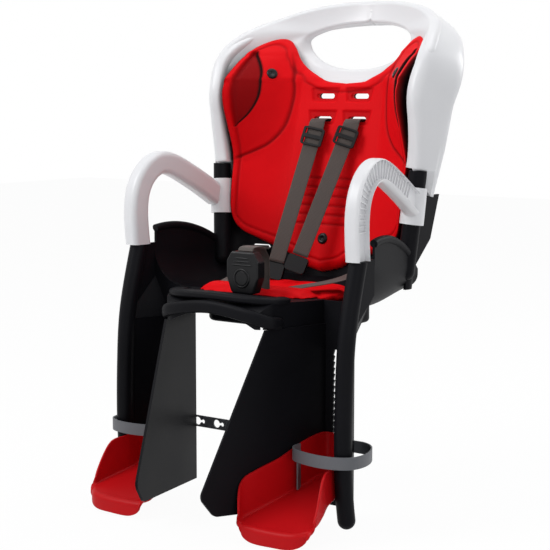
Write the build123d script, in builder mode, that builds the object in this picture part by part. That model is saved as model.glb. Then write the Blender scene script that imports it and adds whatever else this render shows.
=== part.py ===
"""Rear child seat for a bicycle: shell, head frame, arms, leg guards, footrests, pads and harness.

Frame: origin on the underside of the mounting housing, +Z up, the seat faces -Y, millimetres.
"""
import math
import os

from build123d import *

os.makedirs("parts", exist_ok=True)

# Driving dimensions of the moulded shell
WALL = 4.0
GAP = 0.3
BACK_BOTTOM = 56.0
BACK_TOP = 372.0
BACK_HALF = 178.0
BACK_REAR = 111.8
BACK_FRONT = 73.0
BACK_LEAN = 0.237
HEAD_LEAN = 0.5
TUBE_R = 14.0
FLANK_PROUD = 14.0
FLANK_FRONT = 8.0
FLANK_TIP = (61.0, 56.0)
FLANK_CORNER = 129.0
FLANK_STEP = 2.0
TUBE_LOW = 84.0
FRAME_LOW = 238.0
BACK_LEVELS = (BACK_BOTTOM, 130.0, FRAME_LOW, 310.0, BACK_TOP)
HEAD_LEVELS = (BACK_TOP, 400.0, 440.0, 475.0, 505.0)

# Driving dimensions of the seat bucket and its nose
BUCKET_FRONT = -62.0
BUCKET_REAR = 106.0
BUCKET_R = 62.0
EDGE_R = 6.0
BUCKET_STATIONS = (BUCKET_FRONT, -20.0, 25.0, 70.0, BUCKET_REAR)
EDGE_STATIONS = (BUCKET_FRONT, -20.0, 25.0, 66.0)
NOSE_FRONT = -178.0
NOSE_LOW = 18.0
NOSE_CREST = 55.0
NOSE_TIP_HALF = 92.0
NOSE_R = 26.0
NOSE_BROW = 16.0
NOSE_CORNER_R = 26.0
NOSE_ARCH_HALF = 78.0
NOSE_ARCH_RISE = 19.0

# Driving dimensions of the mounting housing
HOUSING_HALF = 112.0
HOUSING_FRONT = -58.0
HOUSING_REAR = 92.0
BOW_R = 5.1
BOW_SPREAD = 40.0
BOW_DEPTH = 110.0
BOW_Z = 11.0
HOUSING_SCREW_X = 84.0
HOUSING_SCREW_Y = (-28.0, 62.0)
SCREW_HEAD_R = 6.0
SCREW_HEAD_H = 5.0

# Driving dimensions of the leg guards
GUARD_X = 205.0
GUARD_REAR_X = 174.0
GUARD_STEP_Z = 0.0
GUARD_WIDE_Z = 66.0
PANEL_REAR_X = 123.0
PANEL_TURN = 16.7
GUARD_LOW = -255.0
POST_R = 13.0
SLOT_LEFT = 138.0
SLOT_RIGHT = 164.0
SLOT_LOW = -200.0
SLOT_HIGH = -20.0
TOOTH = 2.4
TOOTH_PITCH = 9.0
PANEL_TOP = 114.0
PANEL_FOOT = 229.0
PANEL_FOOT_Z = -210.0
PANEL_HEEL = 205.0
PANEL_LOW = -240.0
POST_PATH = (
    (-102.0, 117.7), (-118.0, 65.0), (-130.0, 15.0), (-137.0, -60.0),
    (-139.0, -150.0), (-136.0, -205.0), (-129.0, -252.0),
)

# Driving dimensions of the footrests
TREAD_SLOPE = 16.0
FOOT_TOE_X = 206.0
FOOT_SIDE_X = 189.0
FOOT_FLARE_Y = -154.0
FOOT_WAIST_Y = -124.0
TREAD_WALL = 3.2
FOOT_CLEAR = 1.2
TOE_Y = -236.0
HEEL_Z = -206.0
LIP_LOW = -278.0
INNER_TOP = (
    (-256.0, -300.0), (-246.0, -250.0), (-236.0, -213.0), (-214.0, -188.0), (-141.0, -168.0),
    (-98.0, -146.0), (-60.0, -142.0),
)
OUTER_TOP = (
    (-252.0, -264.0), (-226.0, -246.0), (-206.0, -214.0), (-182.0, -182.0), (-128.0, -172.0),
    (-98.0, -156.0), (-60.0, -142.0),
)
TREAD_HOLE_R = 2.2
TREAD_HOLES = (
    (105.0, -190.0), (175.0, -205.0), (120.0, -150.0), (135.0, -100.0), (150.0, -97.0), (165.0, -95.0),
)

# Driving dimensions of the catches and the foot bands
BAND_W = 18.0
BAND_T = 2.2
BAND_Z = -163.0
CATCH_X = 151.0
CATCH_Z = -175.0
CATCH_H = 44.0
CATCH_T = 3.5
STUD_R = 3.0
BAND_Y = -118.0
BAND_LOOP = (
    (124.0, -146.0), (150.0, -158.0), (200.0, -160.0), (222.0, -148.0), (229.0, -122.0), (221.0, -90.0),
    (205.0, -67.0),
)
BAND_TAIL_X = 56.0
KEY_PITCH = 38.0
KEY_OFFSET = 11.0
KEY_R = 6.4
KEY_NECK = 3.6

# Driving dimensions of the head frame and the arms
ARCH = (
    (214.0, 382.0), (206.0, 414.0), (182.0, 443.0), (146.0, 463.0),
    (102.0, 476.0), (50.0, 484.0), (0.0, 486.0),
)
FRAME_TAB = 198.0
FRAME_TAB_Y = 118.0
FRAME_TAILS = ((FRAME_TAB, 158.0), (FRAME_LOW, 158.0), (310.0, 152.0), (BACK_TOP, 136.0))
FRAME_INNER_TOP = 362.0
FRAME_INNER_HALF = 150.0
HOLE_HALF = 98.0
HOLE_Z = 438.0
HOLE_TOP = 466.0
HOLE_LOW = 392.0
FRAME_WALL = 4.5
RIM_R = 17.0
RIM_CLEAR = 5.0
RIM_PIECES = 10
ARM_X = 205.0
ARM_Y = -102.0
ARM_Z = 118.0
ARM_TURN = 5.0
ARM_W = 28.0
ARM_H = 36.0
ARM_PATH = (
    (0.0, 110.0), (-5.0, 160.0), (6.0, 215.0), (42.0, 243.0), (95.0, 230.0), (145.0, 204.0), (176.0, 186.0),
)
CHANNEL_DEPTH = 9.0
CHANNEL_H = 27.0
COLLAR_LOW = 156.0
COLLAR_HIGH = 212.0
COLLAR_R = 18.5
COLLAR_OPEN = 8.0
RIB_T = 1.8
RIB_H = 2.4
RIB_COUNT = 26

# Driving dimensions of the pads and their push pins
PAD_T = 13.0
PAD_OUTLINE = (
    (0.0, 368.0), (55.0, 374.0), (98.0, 398.0), (120.0, 428.0), (136.0, 439.0), (154.0, 430.0),
    (180.0, 402.0), (196.0, 366.0), (194.0, 320.0), (176.0, 256.0), (163.0, 190.0), (155.0, 138.0),
    (140.0, 119.0), (80.0, 100.0), (0.0, 88.0),
)
SEAT_PAD_T = 9.0
SEAT_PAD_HALF = 118.0
SEAT_PAD_FRONT = -106.0
SEAT_PAD_REAR = 84.0
PIN_R = 3.0
PIN_HEAD_R = 9.0
PIN_HEAD_H = 4.0
PIN_LIFT = 0.8
PIN_TIP = 3.0
PIN_LOW_Z = 122.0
PIN_HIGH_X = 118.0
PIN_HIGH_Z = 384.0

# Driving dimensions of the harness
WEB_W = 26.0
WEB_T = 1.6
SLOT_X = 33.0
SLOT_ROWS = (311.0, 348.0)
SLOT_L = 34.0
SLOT_H = 8.0
TAIL_L = 42.0
NECK_L = 14.0
NECK_DROP = 9.0
NECK_R = 4.0
SHOULDER_ENDS = ((-57.0, 62.0, 84.0), (-9.0, 60.0, 98.0))
HIP_X = 126.0
HIP_Z = 100.0
HIP_BEHIND = 12.0
LAP_END_X = 62.0
LAP_END_Y = -60.0
LAP_SAG = 8.0
KEEPER_W = 112.0
KEEPER_H = 14.0
KEEPER_T = 3.0
SLIDER_L = 30.0
SLIDER_W = 36.0
SLIDER_T = 4.0
SLIDER_PLACE = 6.0
STRAP_TURN = 0.25
TONGUE_W = 34.0
TONGUE_L = 26.0
TONGUE_T = 8.0
CROTCH_X = 24.0
CROTCH_Y = -88.0
BUCKLE_Y = -128.0
BUCKLE_TOP = 123.0
BUCKLE_LOW = 61.0
BUCKLE_HALF = 29.0
BUCKLE_TIP_HALF = 20.0
BUCKLE_T = 17.0
BUTTON_R = 11.0
BUTTON_FIT = 0.08
BUTTON_Z = 84.0
BUTTON_DEPTH = 8.0
BUTTON_PROUD = 1.5
BUTTON_TRAVEL = 3.0
LATCH_W = 30.0
LATCH_L = 20.0
LATCH_T = 5.0

SIDES = (-1.0, 1.0)


def half(z):
    """Half width of the back at height z: it widens towards the shoulders."""
    return BACK_HALF + 0.00036 * (z - BACK_BOTTOM) ** 2


def front(z):
    """Front edge of the side walls at height z."""
    rise = z - BACK_BOTTOM
    return BACK_FRONT + 0.06 * rise + 0.00018 * rise ** 2


def rear(z):
    """Rear face of the back at height z: a straight lean, then the head part bends back."""
    return BACK_REAR + BACK_LEAN * (z - BACK_BOTTOM) + HEAD_LEAN * max(0.0, z - BACK_TOP)


def squareness(z):
    """Exponent of the plan curve: box-like at the waist, round at the head."""
    if z <= FRAME_LOW:
        return 5.0
    if z <= BACK_TOP:
        return 5.0 - 3.0 * (z - FRAME_LOW) / (BACK_TOP - FRAME_LOW)
    return max(1.6, 2.0 - 0.01 * (z - BACK_TOP))


def plan_curve(z, inset, count=12):
    """Points of the back's plan curve at height z, moved inwards by the inset."""
    power = 2.0 / squareness(z)
    points = []
    for i in range(count + 1):
        angle = math.pi * i / count
        across, along = math.cos(angle), math.sin(angle)
        x = (half(z) - inset) * math.copysign(abs(across) ** power, across)
        y = front(z) + (rear(z) - inset - front(z)) * abs(along) ** power
        points.append((x, y))
    return points


def plan_y(x, z, inset=0.0):
    """Depth of the plan curve at x and height z."""
    power = squareness(z)
    share = min(1.0, abs(x) / (half(z) - inset))
    return front(z) + (rear(z) - inset - front(z)) * (1.0 - share ** power) ** (1.0 / power)


def curved_wall(levels, outer, inner):
    """Loft a wall of the back between two insets of the plan curve."""
    sections = []
    for z in levels:
        with BuildSketch(Plane.XY.offset(z)) as section:
            with BuildLine():
                far = Spline(*plan_curve(z, outer))
                near = Spline(*plan_curve(z, inner))
                Line(far @ 0, near @ 0)
                Line(far @ 1, near @ 1)
            make_face()
        sections.append(section.sketch)
    loft(sections)


def flank(tails, inner, thickness):
    """Loft a side flank on both sides, from pairs of a height and the depth of its rear edge."""
    for side in SIDES:
        sections = []
        for z, tail in tails:
            far, near = side * (half(z) + inner + thickness), side * (half(z) + inner)
            lead = front(z) + FLANK_FRONT
            with BuildSketch(Plane.XY.offset(z)) as section:
                with BuildLine():
                    Polyline((far, lead), (far, tail), (near, tail), (near, lead), close=True)
                make_face()
            sections.append(section.sketch)
        loft(sections, ruled=True)


def toward(start, end):
    """Plane at the start point that looks along the line to the end point."""
    return Plane(origin=start, z_dir=Vector(*end) - Vector(*start))


def export(part, name):
    """Label one finished piece and write its file."""
    part.label = name
    export_step(part, f"parts/{name}.step")


def tube_point(side, z):
    """Centre of a straight tubular edge at height z, between its foot and the head frame."""
    share = (z - TUBE_LOW) / (FRAME_LOW - TUBE_LOW)
    x = half(TUBE_LOW) + (half(FRAME_LOW) - half(TUBE_LOW)) * share - WALL / 2
    y = front(TUBE_LOW) + (front(FRAME_LOW) - front(TUBE_LOW)) * share
    return (side * x, y, z)


def rim_y(x, z):
    """Depth of the head frame's rim: the side wall's front edge below, the curved head above."""
    if z <= BACK_TOP:
        return front(z)
    return plan_y(x, z)


def surface_plane(x, z, inset):
    """Plane on the back's plan surface at x and height z, looking out to the front."""
    across = plan_y(x + 1.0, z, inset) - plan_y(x - 1.0, z, inset)
    upward = plan_y(x, z + 1.0, inset) - plan_y(x, z - 1.0, inset)
    return Plane(origin=(x, plan_y(x, z, inset), z), z_dir=(across / 2, -1.0, upward / 2))


def harness_slots():
    """Cut the four strap slots and the two hip slots through a wall of the back."""
    with BuildSketch(Plane.XZ) as slots:
        with Locations(*[(side * SLOT_X, z) for side in SIDES for z in SLOT_ROWS]):
            SlotOverall(SLOT_L, SLOT_H)
        with Locations(*[(side * HIP_X, HIP_Z) for side in SIDES]):
            SlotOverall(SLOT_L, SLOT_H)
    extrude(slots.sketch, amount=-2 * BACK_REAR, mode=Mode.SUBTRACT)


def pin_hole(x, z):
    """Cut the hole of one push pin through everything near the back at x and height z."""
    with BuildSketch(surface_plane(x, z, pad_front)) as hole:
        Circle(PIN_R + GAP)
    extrude(hole.sketch, amount=3 * PAD_T, both=True, mode=Mode.SUBTRACT)


pad_front = WALL + GAP + PAD_T
slot_face = plan_y(SLOT_X, SLOT_ROWS[0], pad_front)
slot_back = rear(SLOT_ROWS[0] - SLOT_H / 2) + GAP + WEB_T / 2
arch = [(half(z), z) for z in (FRAME_LOW, 275.0, 312.0, 346.0)] + list(ARCH)
rim = [(x, rim_y(x, z), z) for x, z in arch]
rim_all = rim + [(-x, y, z) for x, y, z in rim[-2::-1]]


def behind_rim():
    """Cut away what lies in front of the rear of the head frame's rim."""
    with BuildSketch(Plane.YZ) as ahead:
        with BuildLine():
            edge = Spline(*[(y + RIM_R + RIM_CLEAR, z) for x, y, z in rim[:5]])
            low = FRAME_LOW - GAP
            Polyline(edge @ 1, (0, arch[4][1]), (0, low), (rim[0][1] + RIM_R + RIM_CLEAR, low), edge @ 0)
        make_face()
    extrude(ahead.sketch, amount=2 * BACK_HALF, both=True, mode=Mode.SUBTRACT)


# Seat shell: back, bucket, nose and the two tubular edges of the back are one moulding
def bucket_top(y):
    """Height of the bucket's side edge."""
    return 143.0 - 0.0031 * (y + 30.0) ** 2


def bucket_floor(y):
    """Height of the bucket's underside."""
    return 34.0 + 0.0026 * (y - 12.0) ** 2


def bucket_half(y):
    """Half width of the bucket: wider where the leg guards join it."""
    return 180.0 + 27.0 * (BUCKET_REAR - y) / (BUCKET_REAR - BUCKET_FRONT)


def bucket_corner(y):
    """Radius between the bucket's floor and its side."""
    return min(BUCKET_R, 0.75 * (bucket_top(y) - bucket_floor(y)))


def bucket_section(y, inset):
    """Corner points of the bucket's cross-section at depth y."""
    wide, low, high = bucket_half(y) - inset, bucket_floor(y) + inset, bucket_top(y)
    return (-wide, high), (-wide, low), (wide, low), (wide, high)


with BuildPart() as bucket:
    for y in BUCKET_STATIONS:
        with BuildSketch(Plane.XZ.offset(-y)):
            with BuildLine():
                out = FilletPolyline(*bucket_section(y, 0.0), radius=bucket_corner(y))
                inn = FilletPolyline(*bucket_section(y, WALL), radius=bucket_corner(y) - WALL)
                Line(out @ 0, inn @ 0)
                Line(out @ 1, inn @ 1)
            make_face()
    loft()
    for side in SIDES:
        with BuildLine() as edge:
            Spline(*[(side * (bucket_half(y) - WALL / 2), y, bucket_top(y)) for y in EDGE_STATIONS])
        with BuildSketch(Plane(origin=edge.line @ 0, z_dir=edge.line % 0)):
            Circle(EDGE_R)
        sweep()


def nose_top(y):
    """Height of the nose's top: a straight ramp from the bucket's floor to the crest."""
    low = bucket_floor(BUCKET_FRONT) + WALL
    return low + (NOSE_CREST - low) * (BUCKET_FRONT - y) / (BUCKET_FRONT - NOSE_FRONT - NOSE_R)


def nose_block(inset):
    """Solid of the nose, moved inwards by the inset: a tapered plan cut to the side profile."""
    tip, back = NOSE_TIP_HALF - inset, PANEL_REAR_X - inset
    with BuildSketch(Plane.XY.offset(NOSE_LOW - inset)) as plan:
        with BuildLine():
            Polyline(
                (-back, BUCKET_FRONT + inset), (-tip, NOSE_FRONT + inset), (tip, NOSE_FRONT + inset),
                (back, BUCKET_FRONT + inset), close=True,
            )
        make_face()
    extrude(plan.sketch, amount=NOSE_CREST)
    with BuildSketch(Plane.YZ) as profile:
        with BuildLine():
            front_y, rear_y, low = NOSE_FRONT + inset, BUCKET_FRONT + inset, NOSE_LOW - inset
            ramp = Line((rear_y, nose_top(BUCKET_FRONT) - inset), (NOSE_FRONT + NOSE_R, NOSE_CREST - inset))
            brow = TangentArc(ramp @ 1, (front_y, NOSE_LOW + NOSE_BROW), tangent=ramp % 1)
            Polyline(brow @ 1, (front_y, low), (rear_y, low), ramp @ 0)
        make_face()
    extrude(profile.sketch, amount=PANEL_REAR_X, both=True, mode=Mode.INTERSECT)


with BuildPart() as nose_hollow:
    nose_block(WALL)
with BuildPart() as nose:
    nose_block(0.0)
    fillet(nose.edges().filter_by(Axis.Z).group_by(Axis.Y)[0], radius=NOSE_CORNER_R)
    add(nose_hollow.part, mode=Mode.SUBTRACT)

with BuildPart() as shell_flanks:
    flank([(z, rear(z) + FLANK_PROUD) for z in (BACK_BOTTOM, FLANK_CORNER, FRAME_TAB - GAP)], -WALL, WALL)
    with BuildSketch(Plane.YZ):
        with BuildLine():
            corner = (rear(FLANK_CORNER) + FLANK_PROUD, FLANK_CORNER)
            Polyline(
                FLANK_TIP, (2 * BACK_REAR, FLANK_TIP[1]), (2 * BACK_REAR, FLANK_CORNER), corner, close=True,
            )
        make_face()
    extrude(amount=2 * BACK_HALF, both=True, mode=Mode.SUBTRACT)

with BuildPart() as seat_shell:
    curved_wall(BACK_LEVELS, 0.0, WALL)
    add(shell_flanks.part)
    add(bucket.part)
    add(nose.part)
    for side in SIDES:
        foot, top = tube_point(side, TUBE_LOW), tube_point(side, FRAME_LOW - GAP)
        with BuildSketch(toward(foot, top)):
            Circle(TUBE_R)
        extrude(amount=(Vector(*top) - Vector(*foot)).length)
        with Locations(foot):
            Sphere(TUBE_R)
    behind_rim()
    harness_slots()
    pin_hole(0.0, PIN_LOW_Z)
    with BuildSketch(Plane.XY.offset(NOSE_LOW)):
        with Locations((CROTCH_X, CROTCH_Y)):
            SlotOverall(SLOT_L, SLOT_H)
    extrude(amount=NOSE_CREST, mode=Mode.SUBTRACT)
    with BuildSketch(Plane.XZ.offset(-BUCKET_FRONT)):
        with BuildLine():
            low_arc = ThreePointArc(
                (-NOSE_ARCH_HALF, NOSE_LOW), (0, NOSE_LOW + NOSE_ARCH_RISE), (NOSE_ARCH_HALF, NOSE_LOW),
            )
            Line(low_arc @ 1, low_arc @ 0)
        make_face()
    extrude(amount=BUCKET_FRONT - NOSE_FRONT + 1.0, mode=Mode.SUBTRACT)
export(seat_shell.part, "seat_shell")

# Mounting housing under the bucket, with two sockets for the rods of the support bow
screw_places = [(side * HOUSING_SCREW_X, y) for side in SIDES for y in HOUSING_SCREW_Y]
with BuildPart() as mount_housing:
    with BuildSketch(Plane.YZ):
        with BuildLine():
            steps = [HOUSING_FRONT + (HOUSING_REAR - HOUSING_FRONT) * i / 6 for i in range(7)]
            top = Spline(*[(y, bucket_floor(y) - GAP) for y in steps])
            Polyline(top @ 1, (HOUSING_REAR, 0), (HOUSING_FRONT, 0), top @ 0)
        make_face()
    extrude(amount=HOUSING_HALF, both=True)
    fillet(mount_housing.edges().filter_by(Axis.Z), radius=24.0)
    fillet(mount_housing.faces().sort_by(Axis.Z)[0].edges(), radius=6.0)
    with BuildSketch(Plane.XZ.offset(-HOUSING_FRONT)):
        with Locations((-BOW_SPREAD, BOW_Z), (BOW_SPREAD, BOW_Z)):
            Circle(BOW_R)
    extrude(amount=-BOW_DEPTH, mode=Mode.SUBTRACT)
    with Locations(*[(x, y, 0) for x, y in screw_places]):
        Cylinder(SCREW_HEAD_R + 0.4, 2 * SCREW_HEAD_H, mode=Mode.SUBTRACT)
export(mount_housing.part, "mount_housing")

with BuildPart() as housing_screws:
    with Locations(*[(x, y, SCREW_HEAD_H / 2 + 0.4) for x, y in screw_places]):
        Cylinder(SCREW_HEAD_R, SCREW_HEAD_H - 0.8)
    with Locations(*[(x, y, 1.4) for x, y in screw_places]):
        Box(1.2, 6.0, 2.4, mode=Mode.SUBTRACT)
        Box(6.0, 1.2, 2.4, mode=Mode.SUBTRACT)
export(housing_screws.part, "housing_screws")

# Leg guards: inner panel, toothed rear wall and outer wall with a tubular front post
turn = math.radians(PANEL_TURN)
wall_back = BUCKET_FRONT - GAP
panel_plane = Plane(
    origin=(PANEL_REAR_X, wall_back, 0),
    x_dir=(-math.sin(turn), -math.cos(turn), 0),
    z_dir=(-math.cos(turn), math.sin(turn), 0),
)


post_front = min(y for y, z in POST_PATH)
outer_run = Vector(GUARD_X - GUARD_REAR_X, post_front - wall_back, 0)
outer_reach = outer_run.length
outer_plane = Plane(
    origin=(GUARD_REAR_X, wall_back, 0), x_dir=outer_run, z_dir=outer_run.cross(Vector(0, 0, 1)),
)
ledge_rise = Vector(GUARD_X - GUARD_REAR_X, 0, GUARD_WIDE_Z - GUARD_STEP_Z)
ledge_plane = Plane(
    origin=(GUARD_REAR_X, wall_back, GUARD_STEP_Z), x_dir=outer_run, z_dir=outer_run.cross(ledge_rise),
)
ledge_tip = ledge_plane.to_local_coords(Vector(GUARD_X, wall_back, GUARD_WIDE_Z))


def toothed(low, high, x_in, x_out):
    """Outline of the height slot with saw teeth on both long edges."""
    count = int((high - low) / TOOTH_PITCH)
    step = (high - low) / count
    left, right = [], []
    for i in range(count):
        z = low + i * step
        left += [(x_in, z), (x_in + TOOTH, z + 0.85 * step)]
        right += [(x_out, z), (x_out - TOOTH, z + 0.85 * step)]
    return left + [(x_in, high), (x_out, high)] + right[::-1]


with BuildPart() as leg_guard_right:
    with BuildSketch(panel_plane):
        with BuildLine():
            Polyline(
                (0, NOSE_LOW - GAP), (PANEL_TOP, NOSE_LOW - GAP), (PANEL_FOOT, PANEL_FOOT_Z),
                (PANEL_HEEL, PANEL_LOW), (0, GUARD_LOW), close=True,
            )
        panel = make_face()
        fillet(panel.vertices().sort_by_distance((PANEL_FOOT, PANEL_LOW))[0:2], radius=14.0)
    extrude(amount=-WALL)
    with BuildSketch(Plane.XZ.offset(-wall_back)):
        with BuildLine():
            Polyline(
                (PANEL_REAR_X, GUARD_LOW), (GUARD_REAR_X, GUARD_LOW), (GUARD_REAR_X, GUARD_STEP_Z),
                (GUARD_X + WALL / 2, GUARD_WIDE_Z), (GUARD_X + WALL / 2, ARM_Z), (PANEL_REAR_X, ARM_Z),
                close=True,
            )
        make_face()
        with BuildLine():
            corner = bucket_corner(BUCKET_FRONT) - WALL
            cut = FilletPolyline(*bucket_section(BUCKET_FRONT, WALL), radius=corner)
            Line(cut @ 0, cut @ 1)
        make_face(mode=Mode.SUBTRACT)
        with BuildLine():
            Polyline(*toothed(SLOT_LOW, SLOT_HIGH, SLOT_LEFT, SLOT_RIGHT), close=True)
        make_face(mode=Mode.SUBTRACT)
    extrude(amount=WALL)
    with BuildSketch(Plane.YZ.offset(GUARD_X - WALL / 2)):
        with BuildLine():
            Polyline(
                (wall_back, GUARD_WIDE_Z), (post_front, GUARD_STEP_Z), *POST_PATH[2::-1],
                (wall_back, ARM_Z), close=True,
            )
        make_face()
    extrude(amount=WALL)
    with BuildSketch(ledge_plane):
        with BuildLine():
            Polyline((0, 0), (outer_reach, 0), (ledge_tip.X, ledge_tip.Y), close=True)
        make_face()
    extrude(amount=WALL)
    with BuildSketch(outer_plane):
        with BuildLine():
            reach = outer_reach / (wall_back - post_front)
            edge = Spline(*[(reach * (wall_back - y), z) for y, z in POST_PATH[3:]])
            Polyline(
                edge @ 1, (0, GUARD_LOW), (0, GUARD_STEP_Z + WALL),
                (outer_reach, GUARD_STEP_Z + WALL), edge @ 0,
            )
        make_face()
    extrude(amount=WALL)
    with BuildLine(Plane.YZ.offset(GUARD_X)) as post_line:
        Spline(*POST_PATH)
    with BuildSketch(Plane(origin=post_line.line @ 0, z_dir=post_line.line % 0)):
        Circle(POST_R)
    sweep()
    with Locations(post_line.line @ 1):
        Sphere(POST_R)
    with BuildSketch(Plane.XY.offset(ARM_Z - GAP)):
        Rectangle(4 * GUARD_X, 4 * GUARD_X)
    extrude(amount=4 * POST_R, mode=Mode.SUBTRACT)
export(leg_guard_right.part, "leg_guard_right")
with BuildPart() as leg_guard_left:
    mirror(leg_guard_right.part, about=Plane.YZ)
export(leg_guard_left.part, "leg_guard_left")

# Footrests: a tray with a sloping tread, a heel wall and two side walls
slope = math.tan(math.radians(TREAD_SLOPE))
heel_y = wall_back - WALL - FOOT_CLEAR
lip_y = TOE_Y + 30.0
lip_back = TOE_Y + TREAD_WALL


def tread_z(y):
    """Top of the tread at depth y."""
    return HEEL_Z + slope * (y - heel_y)


def inner_edge(y, inset):
    """Inner side of the footrest, a clearance away from the leg guard's panel."""
    face = PANEL_REAR_X + (WALL + FOOT_CLEAR + inset) / math.cos(turn)
    return face + math.tan(turn) * (y - wall_back)


def foot_plan(inset, toe):
    """Plan outline of the footrest, moved inwards by the inset and cut off at the toe."""
    back = heel_y - inset
    return [
        (inner_edge(back, inset), back), (inner_edge(toe, inset), toe), (FOOT_TOE_X - inset, toe),
        (FOOT_TOE_X - inset, toe + 32.0), (FOOT_SIDE_X - inset, FOOT_FLARE_Y),
        (FOOT_SIDE_X - inset, FOOT_WAIST_Y), (GUARD_REAR_X - WALL - FOOT_CLEAR - inset, back),
    ]


def above(curve, x_from, x_to):
    """Cut away everything above a side-view curve between two widths."""
    with BuildSketch(Plane.YZ.offset(x_from)) as region:
        with BuildLine():
            edge = Spline(*curve)
            Polyline(edge @ 1, (-60.0, -80.0), (-270.0, -80.0), edge @ 0)
        make_face()
    extrude(region.sketch, amount=x_to - x_from, mode=Mode.SUBTRACT)


with BuildPart() as foot_space:
    with BuildSketch(Plane.XY.offset(-330.0)):
        with BuildLine():
            Polyline(*foot_plan(TREAD_WALL, TOE_Y - 30.0), close=True)
        make_face()
    extrude(amount=260.0)
    with BuildSketch(Plane.YZ):
        with BuildLine():
            Polyline(
                (-50.0, tread_z(-50.0)), (-270.0, tread_z(-270.0)), (-270.0, -80.0), (-50.0, -80.0),
                close=True,
            )
        make_face()
    extrude(amount=260.0, mode=Mode.INTERSECT)

with BuildPart() as footrest_right:
    with BuildSketch(Plane.XY.offset(-330.0)) as outline:
        with BuildLine():
            Polyline(*foot_plan(0.0, TOE_Y), close=True)
        make_face()
        fillet(outline.vertices().sort_by_distance((FOOT_TOE_X, TOE_Y))[0], radius=26.0)
        fillet(outline.vertices().sort_by_distance((inner_edge(TOE_Y, 0.0), TOE_Y))[0], radius=16.0)
        fillet(outline.vertices().group_by(Axis.Y)[-1], radius=8.0)
    extrude(amount=260.0)
    with BuildSketch(Plane.YZ):
        with BuildLine():
            Polyline(
                (-50.0, tread_z(-50.0) - TREAD_WALL), (lip_y, tread_z(lip_y) - TREAD_WALL),
                (TOE_Y + 8.0, LIP_LOW), (TOE_Y - 10.0, LIP_LOW), (TOE_Y - 10.0, -80.0), (-50.0, -80.0),
                close=True,
            )
        make_face()
    extrude(amount=260.0, mode=Mode.INTERSECT)
    add(foot_space.part, mode=Mode.SUBTRACT)
    above(INNER_TOP, 0.0, 140.0)
    above(OUTER_TOP, 140.0, 260.0)
    with BuildSketch(Plane.YZ):
        with BuildLine():
            Polyline(
                (lip_y + 12.0, tread_z(lip_y + 12.0) - 2 * TREAD_WALL),
                (lip_back, tread_z(lip_back) - TREAD_WALL),
                (lip_back, LIP_LOW - 20.0), (lip_y + 12.0, LIP_LOW - 20.0), close=True,
            )
        make_face()
    extrude(amount=260.0, mode=Mode.SUBTRACT)
    with BuildSketch(Plane.XY.offset(-300.0)):
        with Locations(*TREAD_HOLES):
            Circle(TREAD_HOLE_R)
    extrude(amount=140.0, mode=Mode.SUBTRACT)
export(footrest_right.part, "footrest_right")
with BuildPart() as footrest_left:
    mirror(footrest_right.part, about=Plane.YZ)
export(footrest_left.part, "footrest_left")

# Sliding catches behind the toothed slots, each with the stud that buttons the foot band
catch_front = wall_back + 0.4
with BuildPart() as catch_right:
    with BuildSketch(Plane.XZ.offset(-catch_front)):
        with Locations((CATCH_X, CATCH_Z)):
            RectangleRounded(SLOT_RIGHT - SLOT_LEFT + 14.0, CATCH_H, 5.0)
    extrude(amount=-CATCH_T)
    with BuildSketch(Plane.XZ.offset(-catch_front)):
        with Locations((CATCH_X, CATCH_Z)):
            Rectangle(SLOT_RIGHT - SLOT_LEFT - 2 * TOOTH - 0.8, CATCH_H - 8.0)
    extrude(amount=catch_front - heel_y)
    with BuildSketch(Plane.XZ.offset(-catch_front - CATCH_T)):
        with Locations((CATCH_X, BAND_Z)):
            Circle(STUD_R)
    extrude(amount=-(BAND_T + 0.8))
    with BuildSketch(Plane.XZ.offset(-catch_front - CATCH_T - BAND_T - 0.8)):
        with Locations((CATCH_X, BAND_Z)):
            Circle(STUD_R + 2.2)
    extrude(amount=-2.0)
export(catch_right.part, "catch_right")
with BuildPart() as catch_left:
    mirror(catch_right.part, about=Plane.YZ)
export(catch_left.part, "catch_left")

# Foot bands: rubber strip from the inner wall over the foot, round the post and back to the stud
band_rear = catch_front + CATCH_T + 0.4 + BAND_T / 2
band_start = inner_edge(BAND_Y, TREAD_WALL + 0.3 + BAND_T / 2)
with BuildPart() as foot_band_right:
    with BuildSketch(Plane.XY.offset(BAND_Z - BAND_W / 2)):
        with BuildLine():
            loop = Spline((band_start, BAND_Y), *BAND_LOOP, (GUARD_X - 20.0, band_rear))
            Line(loop @ 1, (BAND_TAIL_X, band_rear))
        trace(line_width=BAND_T)
    extrude(amount=BAND_W)
    with BuildSketch(Plane.XZ):
        with Locations(*[(CATCH_X - i * KEY_PITCH, BAND_Z) for i in range(3)]):
            Circle(STUD_R + GAP)
        with Locations(*[(CATCH_X + KEY_OFFSET / 2 - i * KEY_PITCH, BAND_Z) for i in range(3)]):
            Rectangle(KEY_OFFSET, KEY_NECK)
        with Locations(*[(CATCH_X + KEY_OFFSET - i * KEY_PITCH, BAND_Z) for i in range(3)]):
            Circle(KEY_R)
    extrude(amount=90.0, mode=Mode.SUBTRACT)
    foot = tread_z(BAND_Y) + 0.4
    with BuildSketch(Plane.XY.offset(foot)):
        with BuildLine():
            Line((band_start, BAND_Y), (band_start + 4.0, BAND_Y - 13.0))
        trace(line_width=BAND_T)
    extrude(amount=BAND_Z - foot)
export(foot_band_right.part, "foot_band_right")
with BuildPart() as foot_band_left:
    mirror(foot_band_right.part, about=Plane.YZ)
export(foot_band_left.part, "foot_band_left")

# Head frame: a curved white shell with a round rim and an oval hand hole
def rim_sweep(radius):
    """Solid of the rim with the given radius."""
    for i in range(RIM_PIECES):
        piece = Spline(*rim_all, mode=Mode.PRIVATE).trim(i / RIM_PIECES, (i + 1) / RIM_PIECES)
        with BuildSketch(Plane(origin=piece @ 0, z_dir=piece % 0)) as section:
            Circle(radius)
        sweep(section.sketch, path=piece)


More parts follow.
